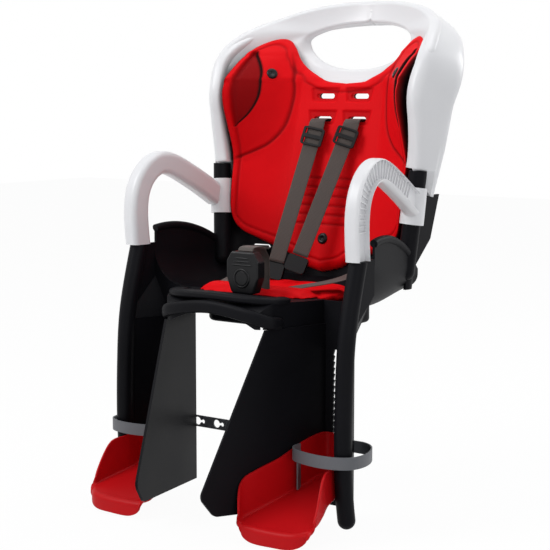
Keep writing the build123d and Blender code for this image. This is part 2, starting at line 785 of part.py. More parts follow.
with BuildPart() as head_frame:
    for levels in (BACK_LEVELS, HEAD_LEVELS):
        curved_wall(levels, -GAP - FRAME_WALL, -GAP)
    with BuildSketch(Plane.XZ):
        with BuildLine():
            over = Spline(*[(x, z) for x, y, z in rim_all])
            Polyline(over @ 1, (-rim[0][0] - RIM_R, FRAME_TAB), (rim[0][0] + RIM_R, FRAME_TAB), over @ 0)
        make_face()
    extrude(amount=-400.0, mode=Mode.INTERSECT)
    with BuildSketch(Plane.XZ):
        with Locations((0, FRAME_INNER_TOP - 100.0)):
            RectangleRounded(2 * FRAME_INNER_HALF, 200.0, 40.0)
    extrude(amount=-400.0, mode=Mode.SUBTRACT)
    flank(FRAME_TAILS, FLANK_STEP, FRAME_WALL)
    rim_sweep(RIM_R)
    with BuildSketch(Plane.YZ):
        with Locations((FRAME_TAB_Y - 100.0, FRAME_LOW - 100.0)):
            Rectangle(200.0, 200.0)
    extrude(amount=2 * BACK_HALF, both=True, mode=Mode.SUBTRACT)
    with BuildSketch(Plane.XZ):
        with BuildLine():
            ThreePointArc((-HOLE_HALF, HOLE_Z), (0, HOLE_TOP), (HOLE_HALF, HOLE_Z))
            ThreePointArc((HOLE_HALF, HOLE_Z), (0, HOLE_LOW), (-HOLE_HALF, HOLE_Z))
        hole = make_face()
        fillet(hole.vertices(), radius=9.0)
    extrude(amount=-400.0, mode=Mode.SUBTRACT)
    for side in SIDES:
        pin_hole(side * PIN_HIGH_X, PIN_HIGH_Z)
export(head_frame.part, "head_frame")

# Arms: channels that open outwards, stiffened by fine ribs, with a collar on the tubular edge
arm_turn = math.radians(ARM_TURN)
arm_plane = Plane(
    origin=(ARM_X, ARM_Y, 0),
    x_dir=(-math.sin(arm_turn), math.cos(arm_turn), 0),
    z_dir=(math.cos(arm_turn), math.sin(arm_turn), 0),
)
collar_foot, collar_top = tube_point(1.0, COLLAR_LOW), tube_point(1.0, COLLAR_HIGH)
collar_length = (Vector(*collar_top) - Vector(*collar_foot)).length

with BuildPart() as arm_right:
    with BuildLine(arm_plane) as arm_line:
        Spline(*ARM_PATH)
    arm_path = arm_line.line
    with BuildSketch(Plane(origin=arm_path @ 0, x_dir=arm_plane.z_dir, z_dir=arm_path % 0)):
        RectangleRounded(ARM_W, ARM_H, 9.0)
    sweep(path=arm_path)
    with BuildSketch(Plane(origin=arm_path @ 0, x_dir=arm_plane.z_dir, z_dir=arm_path % 0)):
        with Locations((ARM_W / 2, -2.0)):
            Rectangle(2 * CHANNEL_DEPTH, CHANNEL_H)
    sweep(path=arm_path, mode=Mode.SUBTRACT)
    for i in range(RIB_COUNT):
        place = 0.16 + 0.72 * i / (RIB_COUNT - 1)
        with BuildSketch(Plane(origin=arm_path @ place, x_dir=arm_plane.z_dir, z_dir=arm_path % place)):
            with Locations((ARM_W / 2 - CHANNEL_DEPTH, -2.0)):
                Rectangle(2 * RIB_H, CHANNEL_H + 1.0)
        extrude(amount=RIB_T)
    with BuildSketch(toward(collar_foot, collar_top)):
        Circle(COLLAR_R)
    extrude(amount=collar_length)
    with BuildSketch(toward(collar_foot, collar_top)):
        Circle(TUBE_R + GAP)
    extrude(amount=collar_length, mode=Mode.SUBTRACT)
    with Locations((collar_foot[0], collar_foot[1] + COLLAR_OPEN + COLLAR_HIGH / 2, COLLAR_HIGH)):
        Box(3 * COLLAR_R, COLLAR_HIGH, COLLAR_HIGH, mode=Mode.SUBTRACT)
    with BuildSketch(Plane.XY.offset(ARM_Z)):
        Rectangle(900.0, 900.0)
    extrude(amount=-60.0, mode=Mode.SUBTRACT)
export(arm_right.part, "arm_right")
with BuildPart() as arm_left:
    mirror(arm_right.part, about=Plane.YZ)
export(arm_left.part, "arm_left")

# Back pad: foam that follows the shell, cut to its front outline, with the harness slots
with BuildPart() as back_pad:
    for levels in (BACK_LEVELS, HEAD_LEVELS):
        curved_wall(levels, WALL + GAP, pad_front)
    with BuildSketch(Plane.XZ):
        with BuildLine():
            side_line = Spline(*PAD_OUTLINE, tangents=((1.0, 0.0), (-1.0, -0.1)))
            mirror(side_line, about=Plane.YZ)
        make_face()
    extrude(amount=-2 * BACK_HALF, mode=Mode.INTERSECT)
    behind_rim()
    harness_slots()
    pin_hole(0.0, PIN_LOW_Z)
    for side in SIDES:
        pin_hole(side * PIN_HIGH_X, PIN_HIGH_Z)
export(back_pad.part, "back_pad")

# Push pins: each head sits on the pad and its shank passes through to the rear
with BuildPart() as pad_pins:
    for x, z, end in (
        (-PIN_HIGH_X, PIN_HIGH_Z, -FRAME_WALL), (PIN_HIGH_X, PIN_HIGH_Z, -FRAME_WALL), (0, PIN_LOW_Z, 0.0),
    ):
        face = surface_plane(x, z, pad_front).offset(PIN_LIFT)
        with BuildSketch(face):
            Circle(PIN_HEAD_R)
        extrude(amount=PIN_HEAD_H)
        with BuildSketch(face):
            Circle(PIN_R)
        extrude(amount=-(pad_front - end + PIN_LIFT + PIN_TIP))
export(pad_pins.part, "pad_pins")

# Seat pad: foam that lies on the bucket's floor and the nose
with BuildPart() as seat_pad:
    with BuildSketch(Plane.YZ):
        with BuildLine():
            steps = [BUCKET_FRONT + (SEAT_PAD_REAR - BUCKET_FRONT) * i / 4 for i in range(5)]
            under = Spline(*[(y, bucket_floor(y) + WALL + GAP) for y in steps])
            ramp = Line(under @ 0, (SEAT_PAD_FRONT, nose_top(SEAT_PAD_FRONT) + GAP))
            over = Spline(*[(y, bucket_floor(y) + WALL + GAP + SEAT_PAD_T) for y in steps])
            brow = Line(over @ 0, (SEAT_PAD_FRONT, nose_top(SEAT_PAD_FRONT) + GAP + SEAT_PAD_T))
            Line(under @ 1, over @ 1)
            Line(ramp @ 1, brow @ 1)
        make_face()
    extrude(amount=SEAT_PAD_HALF, both=True)
    fillet(seat_pad.edges().filter_by(Axis.Z).group_by(Axis.Y)[0], radius=30.0)
    with BuildSketch(Plane.XY.offset(NOSE_LOW)):
        with Locations((CROTCH_X, CROTCH_Y)):
            SlotOverall(SLOT_L, SLOT_H)
    extrude(amount=2 * NOSE_CREST, mode=Mode.SUBTRACT)
export(seat_pad.part, "seat_pad")


# Harness: webbing straps, ladder sliders, tongues and the buckle
def upright(start, end):
    """Upright plane through two points: its first axis is level towards the end, its second is up."""
    level = Vector(end[0] - start[0], end[1] - start[1], 0).normalized()
    return Plane(origin=(start[0], start[1], 0), x_dir=level, z_dir=level.cross(Vector(0, 0, 1)))


def webbing(plane, points, radius=0.0):
    """Flat strap along points of its upright plane, with rounded turns."""
    with BuildSketch(plane) as section:
        with BuildLine():
            if radius > 0.0:
                FilletPolyline(*points, radius=radius)
            else:
                Polyline(*points)
        trace(line_width=WEB_T)
    extrude(section.sketch, amount=WEB_W / 2, both=True)


def shoulder(side, end, label):
    """One shoulder strap with its slider and its tongue: its flat side is turned to the front."""
    slot_z = SLOT_ROWS[0]
    neck = Vector(side * SLOT_X, slot_face - NECK_L, slot_z - NECK_DROP)
    run = Vector(*end) - neck
    ahead = Vector(STRAP_TURN, -1.0, 0.0)
    face = Plane(origin=neck, x_dir=run, z_dir=ahead - run * (ahead.dot(run) / run.dot(run)))
    with BuildPart() as strap:
        webbing(
            Plane.YZ.offset(side * SLOT_X),
            [(slot_back, slot_z - TAIL_L), (slot_back, slot_z), (neck.Y, slot_z),
             (neck.Y - WEB_T, neck.Z - WEB_T)],
            radius=NECK_R,
        )
        with BuildSketch(face.offset(-WEB_T / 2)):
            with Locations((run.length / 2, 0)):
                Rectangle(run.length + 2 * WEB_T, WEB_W)
        extrude(amount=WEB_T)
    with BuildPart() as slider:
        with BuildSketch(face.offset(WEB_T / 2 + GAP)):
            with Locations((SLIDER_PLACE + SLIDER_L / 2, 0)):
                RectangleRounded(SLIDER_L, SLIDER_W, 4.0)
            with Locations((SLIDER_PLACE + SLIDER_L / 4, 0), (SLIDER_PLACE + 3 * SLIDER_L / 4, 0)):
                Rectangle(SLIDER_L / 2 - 6.0, WEB_W + 2.0, mode=Mode.SUBTRACT)
        extrude(amount=SLIDER_T)
    with BuildPart() as tongue:
        with BuildSketch(face.offset(-TONGUE_T / 2)):
            with Locations((run.length + WEB_T + GAP + TONGUE_L / 2, 0)):
                RectangleRounded(TONGUE_L, TONGUE_W, 5.0)
        extrude(amount=TONGUE_T)
    export(strap.part, f"shoulder_strap_{label}")
    export(slider.part, f"strap_slider_{label}")
    export(tongue.part, f"tongue_{label}")


def lap(side, label):
    """One lap strap from its hip slot to the front."""
    top = (side * HIP_X, plan_y(HIP_X, HIP_Z, WALL), HIP_Z)
    pad_top = bucket_floor(LAP_END_Y - 2 * WEB_T) + WALL + GAP + SEAT_PAD_T
    end = (side * LAP_END_X, LAP_END_Y, pad_top + GAP + WEB_T / 2)
    reach = math.hypot(end[0] - top[0], end[1] - top[1])
    with BuildPart() as strap:
        webbing(
            upright(top, end),
            [(-HIP_BEHIND, HIP_Z - TAIL_L), (-HIP_BEHIND, HIP_Z), (HIP_BEHIND, HIP_Z),
             (reach / 2, end[2] + LAP_SAG), (reach, end[2])],
            radius=NECK_R,
        )
    export(strap.part, f"lap_strap_{label}")


for side, end, label in zip(SIDES, SHOULDER_ENDS, ("left", "right")):
    shoulder(side, end, label)
    lap(side, label)

# Keeper bar that holds the tails of the shoulder straps behind the back
keeper_y = slot_back + WEB_T / 2 + GAP
with BuildPart() as strap_keeper:
    with BuildSketch(Plane.XZ.offset(-keeper_y)):
        with Locations((0, SLOT_ROWS[0] - TAIL_L / 2)):
            RectangleRounded(KEEPER_W, KEEPER_H, 5.0)
    extrude(amount=-KEEPER_T)
export(strap_keeper.part, "strap_keeper")

# Crotch strap: up through the nose, over and down to the buckle
strap_y = CROTCH_Y + SLOT_H / 2 - WEB_T / 2 - GAP
with BuildPart() as crotch_strap:
    webbing(
        Plane.YZ.offset(CROTCH_X),
        [(strap_y, NOSE_LOW + 14.0), (strap_y, BUCKLE_TOP - 18.0), (strap_y - 14.0, BUCKLE_TOP + 5.0),
         (BUCKLE_Y, BUCKLE_TOP + 5.0), (BUCKLE_Y, BUCKLE_TOP + GAP)],
        radius=4.0,
    )
export(crotch_strap.part, "crotch_strap")

# Buckle: a body that tapers downwards, with a latch slot below and a round push button in its face
buckle_face = Plane.XZ.offset(-(BUCKLE_Y - BUCKLE_T / 2))
with BuildPart() as buckle_body:
    with BuildSketch(buckle_face):
        with BuildLine():
            Polyline(
                (CROTCH_X - BUCKLE_TIP_HALF, BUCKLE_LOW), (CROTCH_X + BUCKLE_TIP_HALF, BUCKLE_LOW),
                (CROTCH_X + BUCKLE_HALF, BUCKLE_LOW + 24.0), (CROTCH_X + BUCKLE_HALF, BUCKLE_TOP - 14.0),
                (CROTCH_X + BUCKLE_TIP_HALF, BUCKLE_TOP), (CROTCH_X - BUCKLE_TIP_HALF, BUCKLE_TOP),
                (CROTCH_X - BUCKLE_HALF, BUCKLE_TOP - 14.0), (CROTCH_X - BUCKLE_HALF, BUCKLE_LOW + 24.0),
                close=True,
            )
        outline = make_face()
        fillet(outline.vertices(), radius=6.0)
    extrude(amount=-BUCKLE_T)
    fillet(buckle_body.faces().sort_by(Axis.Y)[0].edges(), radius=3.0)
    with BuildSketch(buckle_face):
        with Locations((CROTCH_X, BUTTON_Z)):
            Circle(BUTTON_R + BUTTON_FIT)
    extrude(amount=-BUTTON_DEPTH, mode=Mode.SUBTRACT)
    with BuildSketch(Plane.XY.offset(BUCKLE_LOW)):
        with Locations((CROTCH_X, BUCKLE_Y + BUCKLE_T / 2 - 2.0 - LATCH_T / 2)):
            Rectangle(LATCH_W, LATCH_T)
    extrude(amount=LATCH_L, mode=Mode.SUBTRACT)
export(buckle_body.part, "buckle_body")

with BuildPart() as buckle_button:
    with BuildSketch(buckle_face.offset(BUTTON_PROUD)):
        with Locations((CROTCH_X, BUTTON_Z)):
            Circle(BUTTON_R)
    extrude(amount=-(BUTTON_PROUD + BUTTON_DEPTH - BUTTON_TRAVEL - GAP))
    fillet(buckle_button.faces().sort_by(Axis.Y)[0].edges(), radius=1.0)
export(buckle_button.part, "buckle_button")
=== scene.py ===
# %% [markdown]
# A child seat for a bicycle, dressed for a studio picture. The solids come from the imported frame, in
# metres, with the seat facing -Y and +Z up. Rigid mouldings keep their solids and get finishes. The head
# frame, the pads, the webbing, the foot trays and the pins are made anew here, and the nose and the
# buckle get small rolls and ridges.

# %% Load the frame
import math

import bmesh
import bpy
import numpy as np
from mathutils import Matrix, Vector


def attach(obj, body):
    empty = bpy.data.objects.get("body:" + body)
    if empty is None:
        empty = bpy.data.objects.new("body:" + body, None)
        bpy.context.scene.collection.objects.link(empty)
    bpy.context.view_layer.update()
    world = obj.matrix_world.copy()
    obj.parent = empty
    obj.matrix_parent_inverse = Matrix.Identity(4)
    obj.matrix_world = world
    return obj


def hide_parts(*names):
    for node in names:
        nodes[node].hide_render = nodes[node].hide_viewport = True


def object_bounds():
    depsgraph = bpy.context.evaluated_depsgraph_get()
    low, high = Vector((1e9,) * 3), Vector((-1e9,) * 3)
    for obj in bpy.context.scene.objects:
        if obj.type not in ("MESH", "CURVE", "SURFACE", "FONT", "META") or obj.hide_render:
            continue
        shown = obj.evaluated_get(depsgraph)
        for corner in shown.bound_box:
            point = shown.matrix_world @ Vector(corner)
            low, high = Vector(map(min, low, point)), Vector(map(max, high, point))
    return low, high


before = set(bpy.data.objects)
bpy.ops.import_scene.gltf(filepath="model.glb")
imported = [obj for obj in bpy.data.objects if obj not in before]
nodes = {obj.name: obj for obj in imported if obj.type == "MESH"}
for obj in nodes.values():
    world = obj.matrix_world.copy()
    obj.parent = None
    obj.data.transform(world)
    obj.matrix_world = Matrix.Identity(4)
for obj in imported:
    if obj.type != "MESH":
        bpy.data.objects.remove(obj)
cad_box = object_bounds()
scene = bpy.context.scene
scene.view_settings.view_transform = "Standard"
SIDES = (("left", -1.0), ("right", 1.0))

# %% [markdown]
# The photograph was taken from the front right, a little above the seat, with a long lens. A long lens
# far away keeps the two footrests almost the same size, so the camera is set by its distance, not by eye.

# %% Camera
CAMERA_TARGET = Vector((0.0, -0.020, 0.0754))
CAMERA_AZIMUTH = math.radians(35.9)
CAMERA_ELEVATION = math.radians(7.17)
CAMERA_DISTANCE = 2.311
CAMERA_LENS = 98.2
SENSOR_WIDTH = 36.0

camera_data = bpy.data.cameras.new("camera")
camera_data.lens = CAMERA_LENS
camera_data.sensor_width = SENSOR_WIDTH
camera = bpy.data.objects.new("camera", camera_data)
level = math.cos(CAMERA_ELEVATION)
back_to_camera = Vector((
    math.sin(CAMERA_AZIMUTH) * level, -math.cos(CAMERA_AZIMUTH) * level, math.sin(CAMERA_ELEVATION),
))
camera.location = CAMERA_TARGET + CAMERA_DISTANCE * back_to_camera
camera.rotation_mode = "QUATERNION"
camera.rotation_quaternion = (-back_to_camera).to_track_quat("-Z", "Y")
scene.collection.objects.link(camera)
scene.camera = camera
print("camera at", tuple(round(v, 3) for v in camera.location))

# %% [markdown]
# Gloss plastic needs something to reflect, so the studio has large soft lamps: a key from the front left,
# a fill from the right, one above and a strip behind for the edges. Each row gives place, size and power.

# %% Lamps
LAMPS = {
    "key": ((-1.5, -2.2, 2.2), 1.6, 64.0),
    "fill": ((2.4, -1.4, 1.2), 1.8, 15.0),
    "top": ((0.2, 0.4, 2.6), 1.6, 24.0),
    "strip": ((1.2, 1.9, 1.2), 0.9, 18.0),
}

for name, (place, size, power) in LAMPS.items():
    lamp_data = bpy.data.lights.new(name, "AREA")
    lamp_data.size = size
    lamp_data.energy = power
    lamp = bpy.data.objects.new(name, lamp_data)
    lamp.location = place
    lamp.rotation_mode = "QUATERNION"
    lamp.rotation_quaternion = (CAMERA_TARGET - Vector(place)).to_track_quat("-Z", "Y")
    scene.collection.objects.link(lamp)
print("lamps", len(LAMPS))

# %% [markdown]
# The background is white where it is looked at, straight or in a mirror or through glass, and a plain
# grey where it only lights. The floor does the same, but keeps a small share of its own shade, so that
# the shadow shows.

# %% World and floor
WORLD_COLOUR = (0.80, 0.82, 0.85, 1.0)
WORLD_STRENGTH = 0.42
WHITE = (1.0, 1.0, 1.0, 1.0)
FLOOR_COLOUR = (0.86, 0.86, 0.86, 1.0)
FLOOR_ROUGHNESS = 0.9
FLOOR_GLOW = 0.96
FLOOR_SIZE = 12.0
FLOOR_DROP = 0.001


def math_node(tree, operation, first, second):
    """Math node on two sockets or numbers."""
    node = tree.nodes.new("ShaderNodeMath")
    node.operation = operation
    for socket, value in zip(node.inputs, (first, second)):
        if isinstance(value, (int, float)):
            socket.default_value = value
        else:
            tree.links.new(value, socket)
    return node.outputs[0]


def seen_directly(tree):
    """One where a camera, mirror or glass ray looks at the surface itself, nothing where it only lights."""
    path = tree.nodes.new("ShaderNodeLightPath")
    looked_at = math_node(tree, "MAXIMUM", path.outputs["Is Camera Ray"], path.outputs["Is Glossy Ray"])
    return math_node(tree, "MAXIMUM", looked_at, path.outputs["Is Transmission Ray"])


def blend_shaders(tree, share, first, second, output):
    """Send a blend of two shaders to the surface of the output node."""
    blend = tree.nodes.new("ShaderNodeMixShader")
    for socket, source in zip(blend.inputs, (share, first, second)):
        tree.links.new(source, socket)
    tree.links.new(blend.outputs[0], tree.nodes[output].inputs["Surface"])


world = bpy.data.worlds.new("studio")
world.use_nodes = True
scene.world = world
tree = world.node_tree
grey = tree.nodes["Background"]
grey.inputs["Color"].default_value = WORLD_COLOUR
grey.inputs["Strength"].default_value = WORLD_STRENGTH
white = tree.nodes.new("ShaderNodeBackground")
white.inputs["Color"].default_value = WHITE
blend_shaders(tree, seen_directly(tree), grey.outputs[0], white.outputs[0], "World Output")

pale = bpy.data.materials.new("pale_floor")
pale.use_nodes = True
tree = pale.node_tree
matt = tree.nodes["Principled BSDF"]
matt.inputs["Base Color"].default_value = FLOOR_COLOUR
matt.inputs["Roughness"].default_value = FLOOR_ROUGHNESS
glow = tree.nodes.new("ShaderNodeEmission")
glow_share = math_node(tree, "MULTIPLY", seen_directly(tree), FLOOR_GLOW)
blend_shaders(tree, glow_share, matt.outputs[0], glow.outputs[0], "Material Output")

reach = FLOOR_SIZE / 2
low = cad_box[0].z - FLOOR_DROP
corners = [(-reach, -reach, low), (reach, -reach, low), (reach, reach, low), (-reach, reach, low)]
floor_mesh = bpy.data.meshes.new("floor")
floor_mesh.from_pydata(corners, [], [(0, 1, 2, 3)])
floor_mesh.materials.append(pale)
floor = bpy.data.objects.new("floor", floor_mesh)
scene.collection.objects.link(floor)
print("floor at", round(low, 3))

# %% [markdown]
# Every moulding here has a fine spark-eroded grain that breaks up its gloss, and slow changes of tone.
# Both are needed in each finish, so they are one node group: a fine noise for the height, a slow one for
# the tone.

# %% Moulded grain
FINE_DETAIL = 2.0
SLOW_DETAIL = 4.0
NOISE_MIDDLE = 0.5


def new_group(name, inputs, outputs):
    """Empty shader node group with named value sockets."""
    group = bpy.data.node_groups.new(name, "ShaderNodeTree")
    for label, value in inputs.items():
        socket = group.interface.new_socket(label, in_out="INPUT", socket_type="NodeSocketFloat")
        socket.default_value = value
    for label in outputs:
        group.interface.new_socket(label, in_out="OUTPUT", socket_type="NodeSocketFloat")
    return group, group.nodes.new("NodeGroupInput"), group.nodes.new("NodeGroupOutput")


grain, grain_in, grain_out = new_group(
    "moulded_grain", {"Grain Scale": 900.0, "Tone Scale": 9.0, "Roughness": 0.4, "Spread": 0.15},
    ("Height", "Tone", "Roughness"),
)
place = grain.nodes.new("ShaderNodeTexCoord")
fine = grain.nodes.new("ShaderNodeTexNoise")
slow = grain.nodes.new("ShaderNodeTexNoise")
for texture, label, detail in ((fine, "Grain Scale", FINE_DETAIL), (slow, "Tone Scale", SLOW_DETAIL)):
    texture.inputs["Detail"].default_value = detail
    grain.links.new(place.outputs["Object"], texture.inputs["Vector"])
    grain.links.new(grain_in.outputs[label], texture.inputs["Scale"])
grain.links.new(fine.outputs["Fac"], grain_out.inputs["Height"])
grain.links.new(slow.outputs["Fac"], grain_out.inputs["Tone"])
centred = math_node(grain, "SUBTRACT", slow.outputs["Fac"], NOISE_MIDDLE)
swing = math_node(grain, "MULTIPLY", centred, grain_in.outputs["Spread"])
uneven = math_node(grain, "ADD", swing, grain_in.outputs["Roughness"])
grain.links.new(uneven, grain_out.inputs["Roughness"])
print("grain sockets", list(grain_in.outputs.keys()))

# %% [markdown]
# Webbing is woven, so its height goes up and down with the threads in one direction and the picks in the
# other. Two sine waves on the strap's own map, multiplied, make the crossings.

# %% Webbing weave
def wave(tree, coordinate, count):
    """Sine of one coordinate times a count."""
    return math_node(tree, "SINE", math_node(tree, "MULTIPLY", coordinate, count), 0.0)


weave, weave_in, weave_out = new_group(
    "webbing_weave", {"Threads": 2600.0, "Picks": 1500.0}, ("Height", "Tone"),
)
cloth_map = weave.nodes.new("ShaderNodeUVMap")
parts = weave.nodes.new("ShaderNodeSeparateXYZ")
weave.links.new(cloth_map.outputs["UV"], parts.inputs[0])
thread_wave = wave(weave, parts.outputs[0], weave_in.outputs["Threads"])
pick_wave = wave(weave, parts.outputs[1], weave_in.outputs["Picks"])
crossing = math_node(weave, "MULTIPLY", thread_wave, pick_wave)
weave.links.new(math_node(weave, "MULTIPLY_ADD", crossing, 0.5), weave_out.inputs["Height"])
# The tone is painted shade: darkest where the crossing is nothing, between the threads.
weave.links.new(math_node(weave, "ABSOLUTE", crossing, 0.0), weave_out.inputs["Tone"])
print("weave sockets", list(weave_in.outputs.keys()))

# %% [markdown]
# One function makes each moulded finish: its two tones, its roughness and its grain differ, the nodes are
# the same. The tones lie close together, because moulded colour is even; the grain shows in the
# highlights.

# %% Helpers for the finishes
# A colour mix node has sockets of the same name for other kinds, so these are found by number.
MIX_FIRST = 6
MIX_SECOND = 7
MIX_RESULT = 2
GRAIN_HEIGHT = 0.0004


def new_finish(name):
    """Material with nodes, its tree and its shader."""
    material = bpy.data.materials.new(name)
    material.use_nodes = True
    tree = material.node_tree
    return material, tree, tree.nodes["Principled BSDF"]


def place_group(tree, group):
    """Node that uses a node group in a material."""
    node = tree.nodes.new("ShaderNodeGroup")
    node.node_tree = group
    return node


def colour_mix(tree, share, first, second):
    """Colour between two colours or sockets, by a share."""
    node = tree.nodes.new("ShaderNodeMix")
    node.data_type = "RGBA"
    tree.links.new(share, node.inputs[0])
    for index, value in ((MIX_FIRST, first), (MIX_SECOND, second)):
        if isinstance(value, tuple):
            node.inputs[index].default_value = (*value, 1.0)
        else:
            tree.links.new(value, node.inputs[index])
    return node.outputs[MIX_RESULT]


def add_bump(tree, shader, height, strength, distance):
    """Tilt the shader's normal by a height."""
    relief = tree.nodes.new("ShaderNodeBump")
    relief.inputs["Strength"].default_value = strength
    relief.inputs["Distance"].default_value = distance
    tree.links.new(height, relief.inputs["Height"])
    tree.links.new(relief.outputs["Normal"], shader.inputs["Normal"])


def plastic(
    name, colour, shade, roughness, spread=0.12, grain_scale=900.0, bump=0.1, specular=0.5, metallic=0.0,
):
    """Moulded finish: tone between two colours, roughness and bump from the grain group."""
    material, tree, shader = new_finish(name)
    surface = place_group(tree, grain)
    surface.inputs["Grain Scale"].default_value = grain_scale
    surface.inputs["Roughness"].default_value = roughness
    surface.inputs["Spread"].default_value = spread
    tone = colour_mix(tree, surface.outputs["Tone"], colour, shade)
    tree.links.new(tone, shader.inputs["Base Color"])
    tree.links.new(surface.outputs["Roughness"], shader.inputs["Roughness"])
    add_bump(tree, shader, surface.outputs["Height"], bump, GRAIN_HEIGHT)
    shader.inputs["Specular IOR Level"].default_value = specular
    shader.inputs["Metallic"].default_value = metallic
    return material


def masked(material, mask, colour):
    """Add a second colour where a named point attribute of the mesh is one."""
    tree = material.node_tree
    shader = tree.nodes["Principled BSDF"]
    base = shader.inputs["Base Color"].links[0].from_socket
    reading = tree.nodes.new("ShaderNodeAttribute")
    reading.attribute_name = mask
    tree.links.new(colour_mix(tree, reading.outputs["Fac"], base, colour), shader.inputs["Base Color"])


print("groups", [group.name for group in bpy.data.node_groups])

# %% [markdown]
# The frame is white gloss; the shell and the leg guards are a matt black, which must not shine grey in a
# white room; the small parts are a smoother black. The pad's foam has a coarser grain and painted shade:
# near-black in the pockets, on their undercut wall, on the ears' side walls and on its underside, and a
# deeper red in its grooves, beads, ribs and sunk places. Steel is the same finish made a metal.

# %% Finishes of the mouldings
# Painted shade: near-black for the pad's pockets, their undercut wall, the ears' side walls and its
# underside.
PAINTED_SHADE_BLACK = (0.006, 0.001, 0.001)
# Painted shade: a deeper red for the pad's grooves, beads, ribs and sunk places.
RECESS_SHADE_RED = (0.28, 0.001, 0.003)

white_gloss = plastic("white_gloss", (0.74, 0.74, 0.75), (0.69, 0.69, 0.71), 0.30, bump=0.05, specular=0.35)
shell_black = plastic(
    "shell_black", (0.0035, 0.0035, 0.0045), (0.007, 0.007, 0.009), 0.46, bump=0.2, specular=0.06,
)
trim_black = plastic("trim_black", (0.005, 0.005, 0.006), (0.009, 0.009, 0.010), 0.30, specular=0.2)
red_plastic = plastic("red_plastic", (0.50, 0.005, 0.008), (0.43, 0.004, 0.006), 0.40, specular=0.1)
band_rubber = plastic("band_rubber", (0.085, 0.088, 0.098), (0.11, 0.113, 0.125), 0.55, bump=0.25)
screw_steel = plastic("screw_steel", (0.42, 0.42, 0.43), (0.50, 0.50, 0.51), 0.32, metallic=1.0)
pad_red = plastic(
    "pad_red", (0.76, 0.003, 0.007), (0.66, 0.002, 0.005), 0.58, spread=0.1, grain_scale=1500.0, bump=0.35,
    specular=0.07,
)
# The pocket attribute marks painted shade: the darkened pockets, their wall, the ears' side walls and the
# underside.
masked(pad_red, "pocket", PAINTED_SHADE_BLACK)
# The groove attribute marks painted shade in the pad's recesses.
masked(pad_red, "groove", RECESS_SHADE_RED)
moulded = (white_gloss, shell_black, trim_black, red_plastic, band_rubber, screw_steel, pad_red)
print("moulded finishes", [finish.name for finish in moulded])

# %% [markdown]
# The webbing is dull brown-grey yarn: rough, with a little sheen from its fibres, and with painted shade
# that makes it darker between the threads.

# %% Finish of the webbing
# Painted shade: the darker yarn colour goes into the gaps between the threads.
YARN_GAP_SHADE = (0.034, 0.025, 0.021)
YARN_LIGHT = (0.072, 0.055, 0.047)
YARN_ROUGHNESS = 0.72
YARN_SHEEN = 0.15
YARN_BUMP = 0.5
YARN_HEIGHT = 0.0006

webbing, tree, shader = new_finish("webbing")
threads = place_group(tree, weave)
tone = colour_mix(tree, threads.outputs["Tone"], YARN_GAP_SHADE, YARN_LIGHT)
tree.links.new(tone, shader.inputs["Base Color"])
add_bump(tree, shader, threads.outputs["Height"], YARN_BUMP, YARN_HEIGHT)
shader.inputs["Roughness"].default_value = YARN_ROUGHNESS
shader.inputs["Sheen Weight"].default_value = YARN_SHEEN
print("finish", webbing.name)

# %% [markdown]
# The rigid mouldings are right as solids, so they only change their finish, node by node.

# %% Finish the rigid solids
NODE_FINISH = {
    "seat_shell": shell_black, "mount_housing": shell_black, "leg_guard": shell_black,
    "head_frame": white_gloss, "arm": white_gloss, "footrest": red_plastic, "foot_band": band_rubber,
    "catch": trim_black, "pad_pins": trim_black, "strap_slider": trim_black, "tongue": trim_black,
    "strap_keeper": trim_black, "buckle": trim_black, "housing_screws": screw_steel,
    "back_pad": pad_red, "seat_pad": pad_red,
    "shoulder_strap": webbing, "lap_strap": webbing, "crotch_strap": webbing,
}
for name, solid in nodes.items():
    finish = next(made for start, made in NODE_FINISH.items() if name.startswith(start))
    solid.data.materials.clear()
    solid.data.materials.append(finish)
print("solids finished", len(nodes))

# %% [markdown]
# New pieces are grids of points. A grid is easy to read: one direction runs along the piece, the other
# round it, and each cell becomes one four-sided face.

# %% Grid helpers
SAME_POINT = 1e-6


def grid_piece(name, grid, material, body="seat", wrap=False, cap=False, uv=None, masks=None):
    """Piece from a grid of points (rows, columns, 3): each cell is a quad, a wrapped row closes on itself."""
    rows, columns = grid.shape[:2]
    index = np.arange(rows * columns).reshape(rows, columns)
    ring = np.hstack([index, index[:, :1]]) if wrap else index
    quads = np.stack([ring[:-1, :-1], ring[:-1, 1:], ring[1:, 1:], ring[1:, :-1]], -1).reshape(-1, 4)
    faces = quads.tolist()
    if cap:
        faces += [index[0, ::-1].tolist(), index[-1].tolist()]
    mesh = bpy.data.meshes.new(name)
    mesh.from_pydata(grid.reshape(-1, 3).tolist(), [], faces)
    if uv is not None:
        corners = np.array([loop.vertex_index for loop in mesh.loops])
        mesh.uv_layers.new(name="UVMap").uv.foreach_set("vector", uv.reshape(-1, 2)[corners].ravel())
    for label, values in (masks or {}).items():
        mesh.attributes.new(label, "FLOAT", "POINT").data.foreach_set("value", values.ravel())
    shaped = bmesh.new()
    shaped.from_mesh(mesh)
    bmesh.ops.remove_doubles(shaped, verts=shaped.verts, dist=SAME_POINT)
    bmesh.ops.recalc_face_normals(shaped, faces=shaped.faces)
    shaped.to_mesh(mesh)
    shaped.free()
    mesh.polygons.foreach_set("use_smooth", [True] * len(mesh.polygons))
    mesh.materials.append(material)
    piece = bpy.data.objects.new(name, mesh)
    scene.collection.objects.link(piece)
    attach(piece, body)
    return piece


def made_mesh(piece):
    """Mesh of a piece with its modifiers applied."""
    return bpy.data.meshes.new_from_object(piece.evaluated_get(bpy.context.evaluated_depsgraph_get()))


def add_wall(piece, thickness):
    """Give a surface a wall, half to each side."""
    wall = piece.modifiers.new("wall", "SOLIDIFY")
    wall.thickness = thickness
    wall.offset = 0.0


print("grid helpers", [helper.__name__ for helper in (grid_piece, made_mesh, add_wall)])

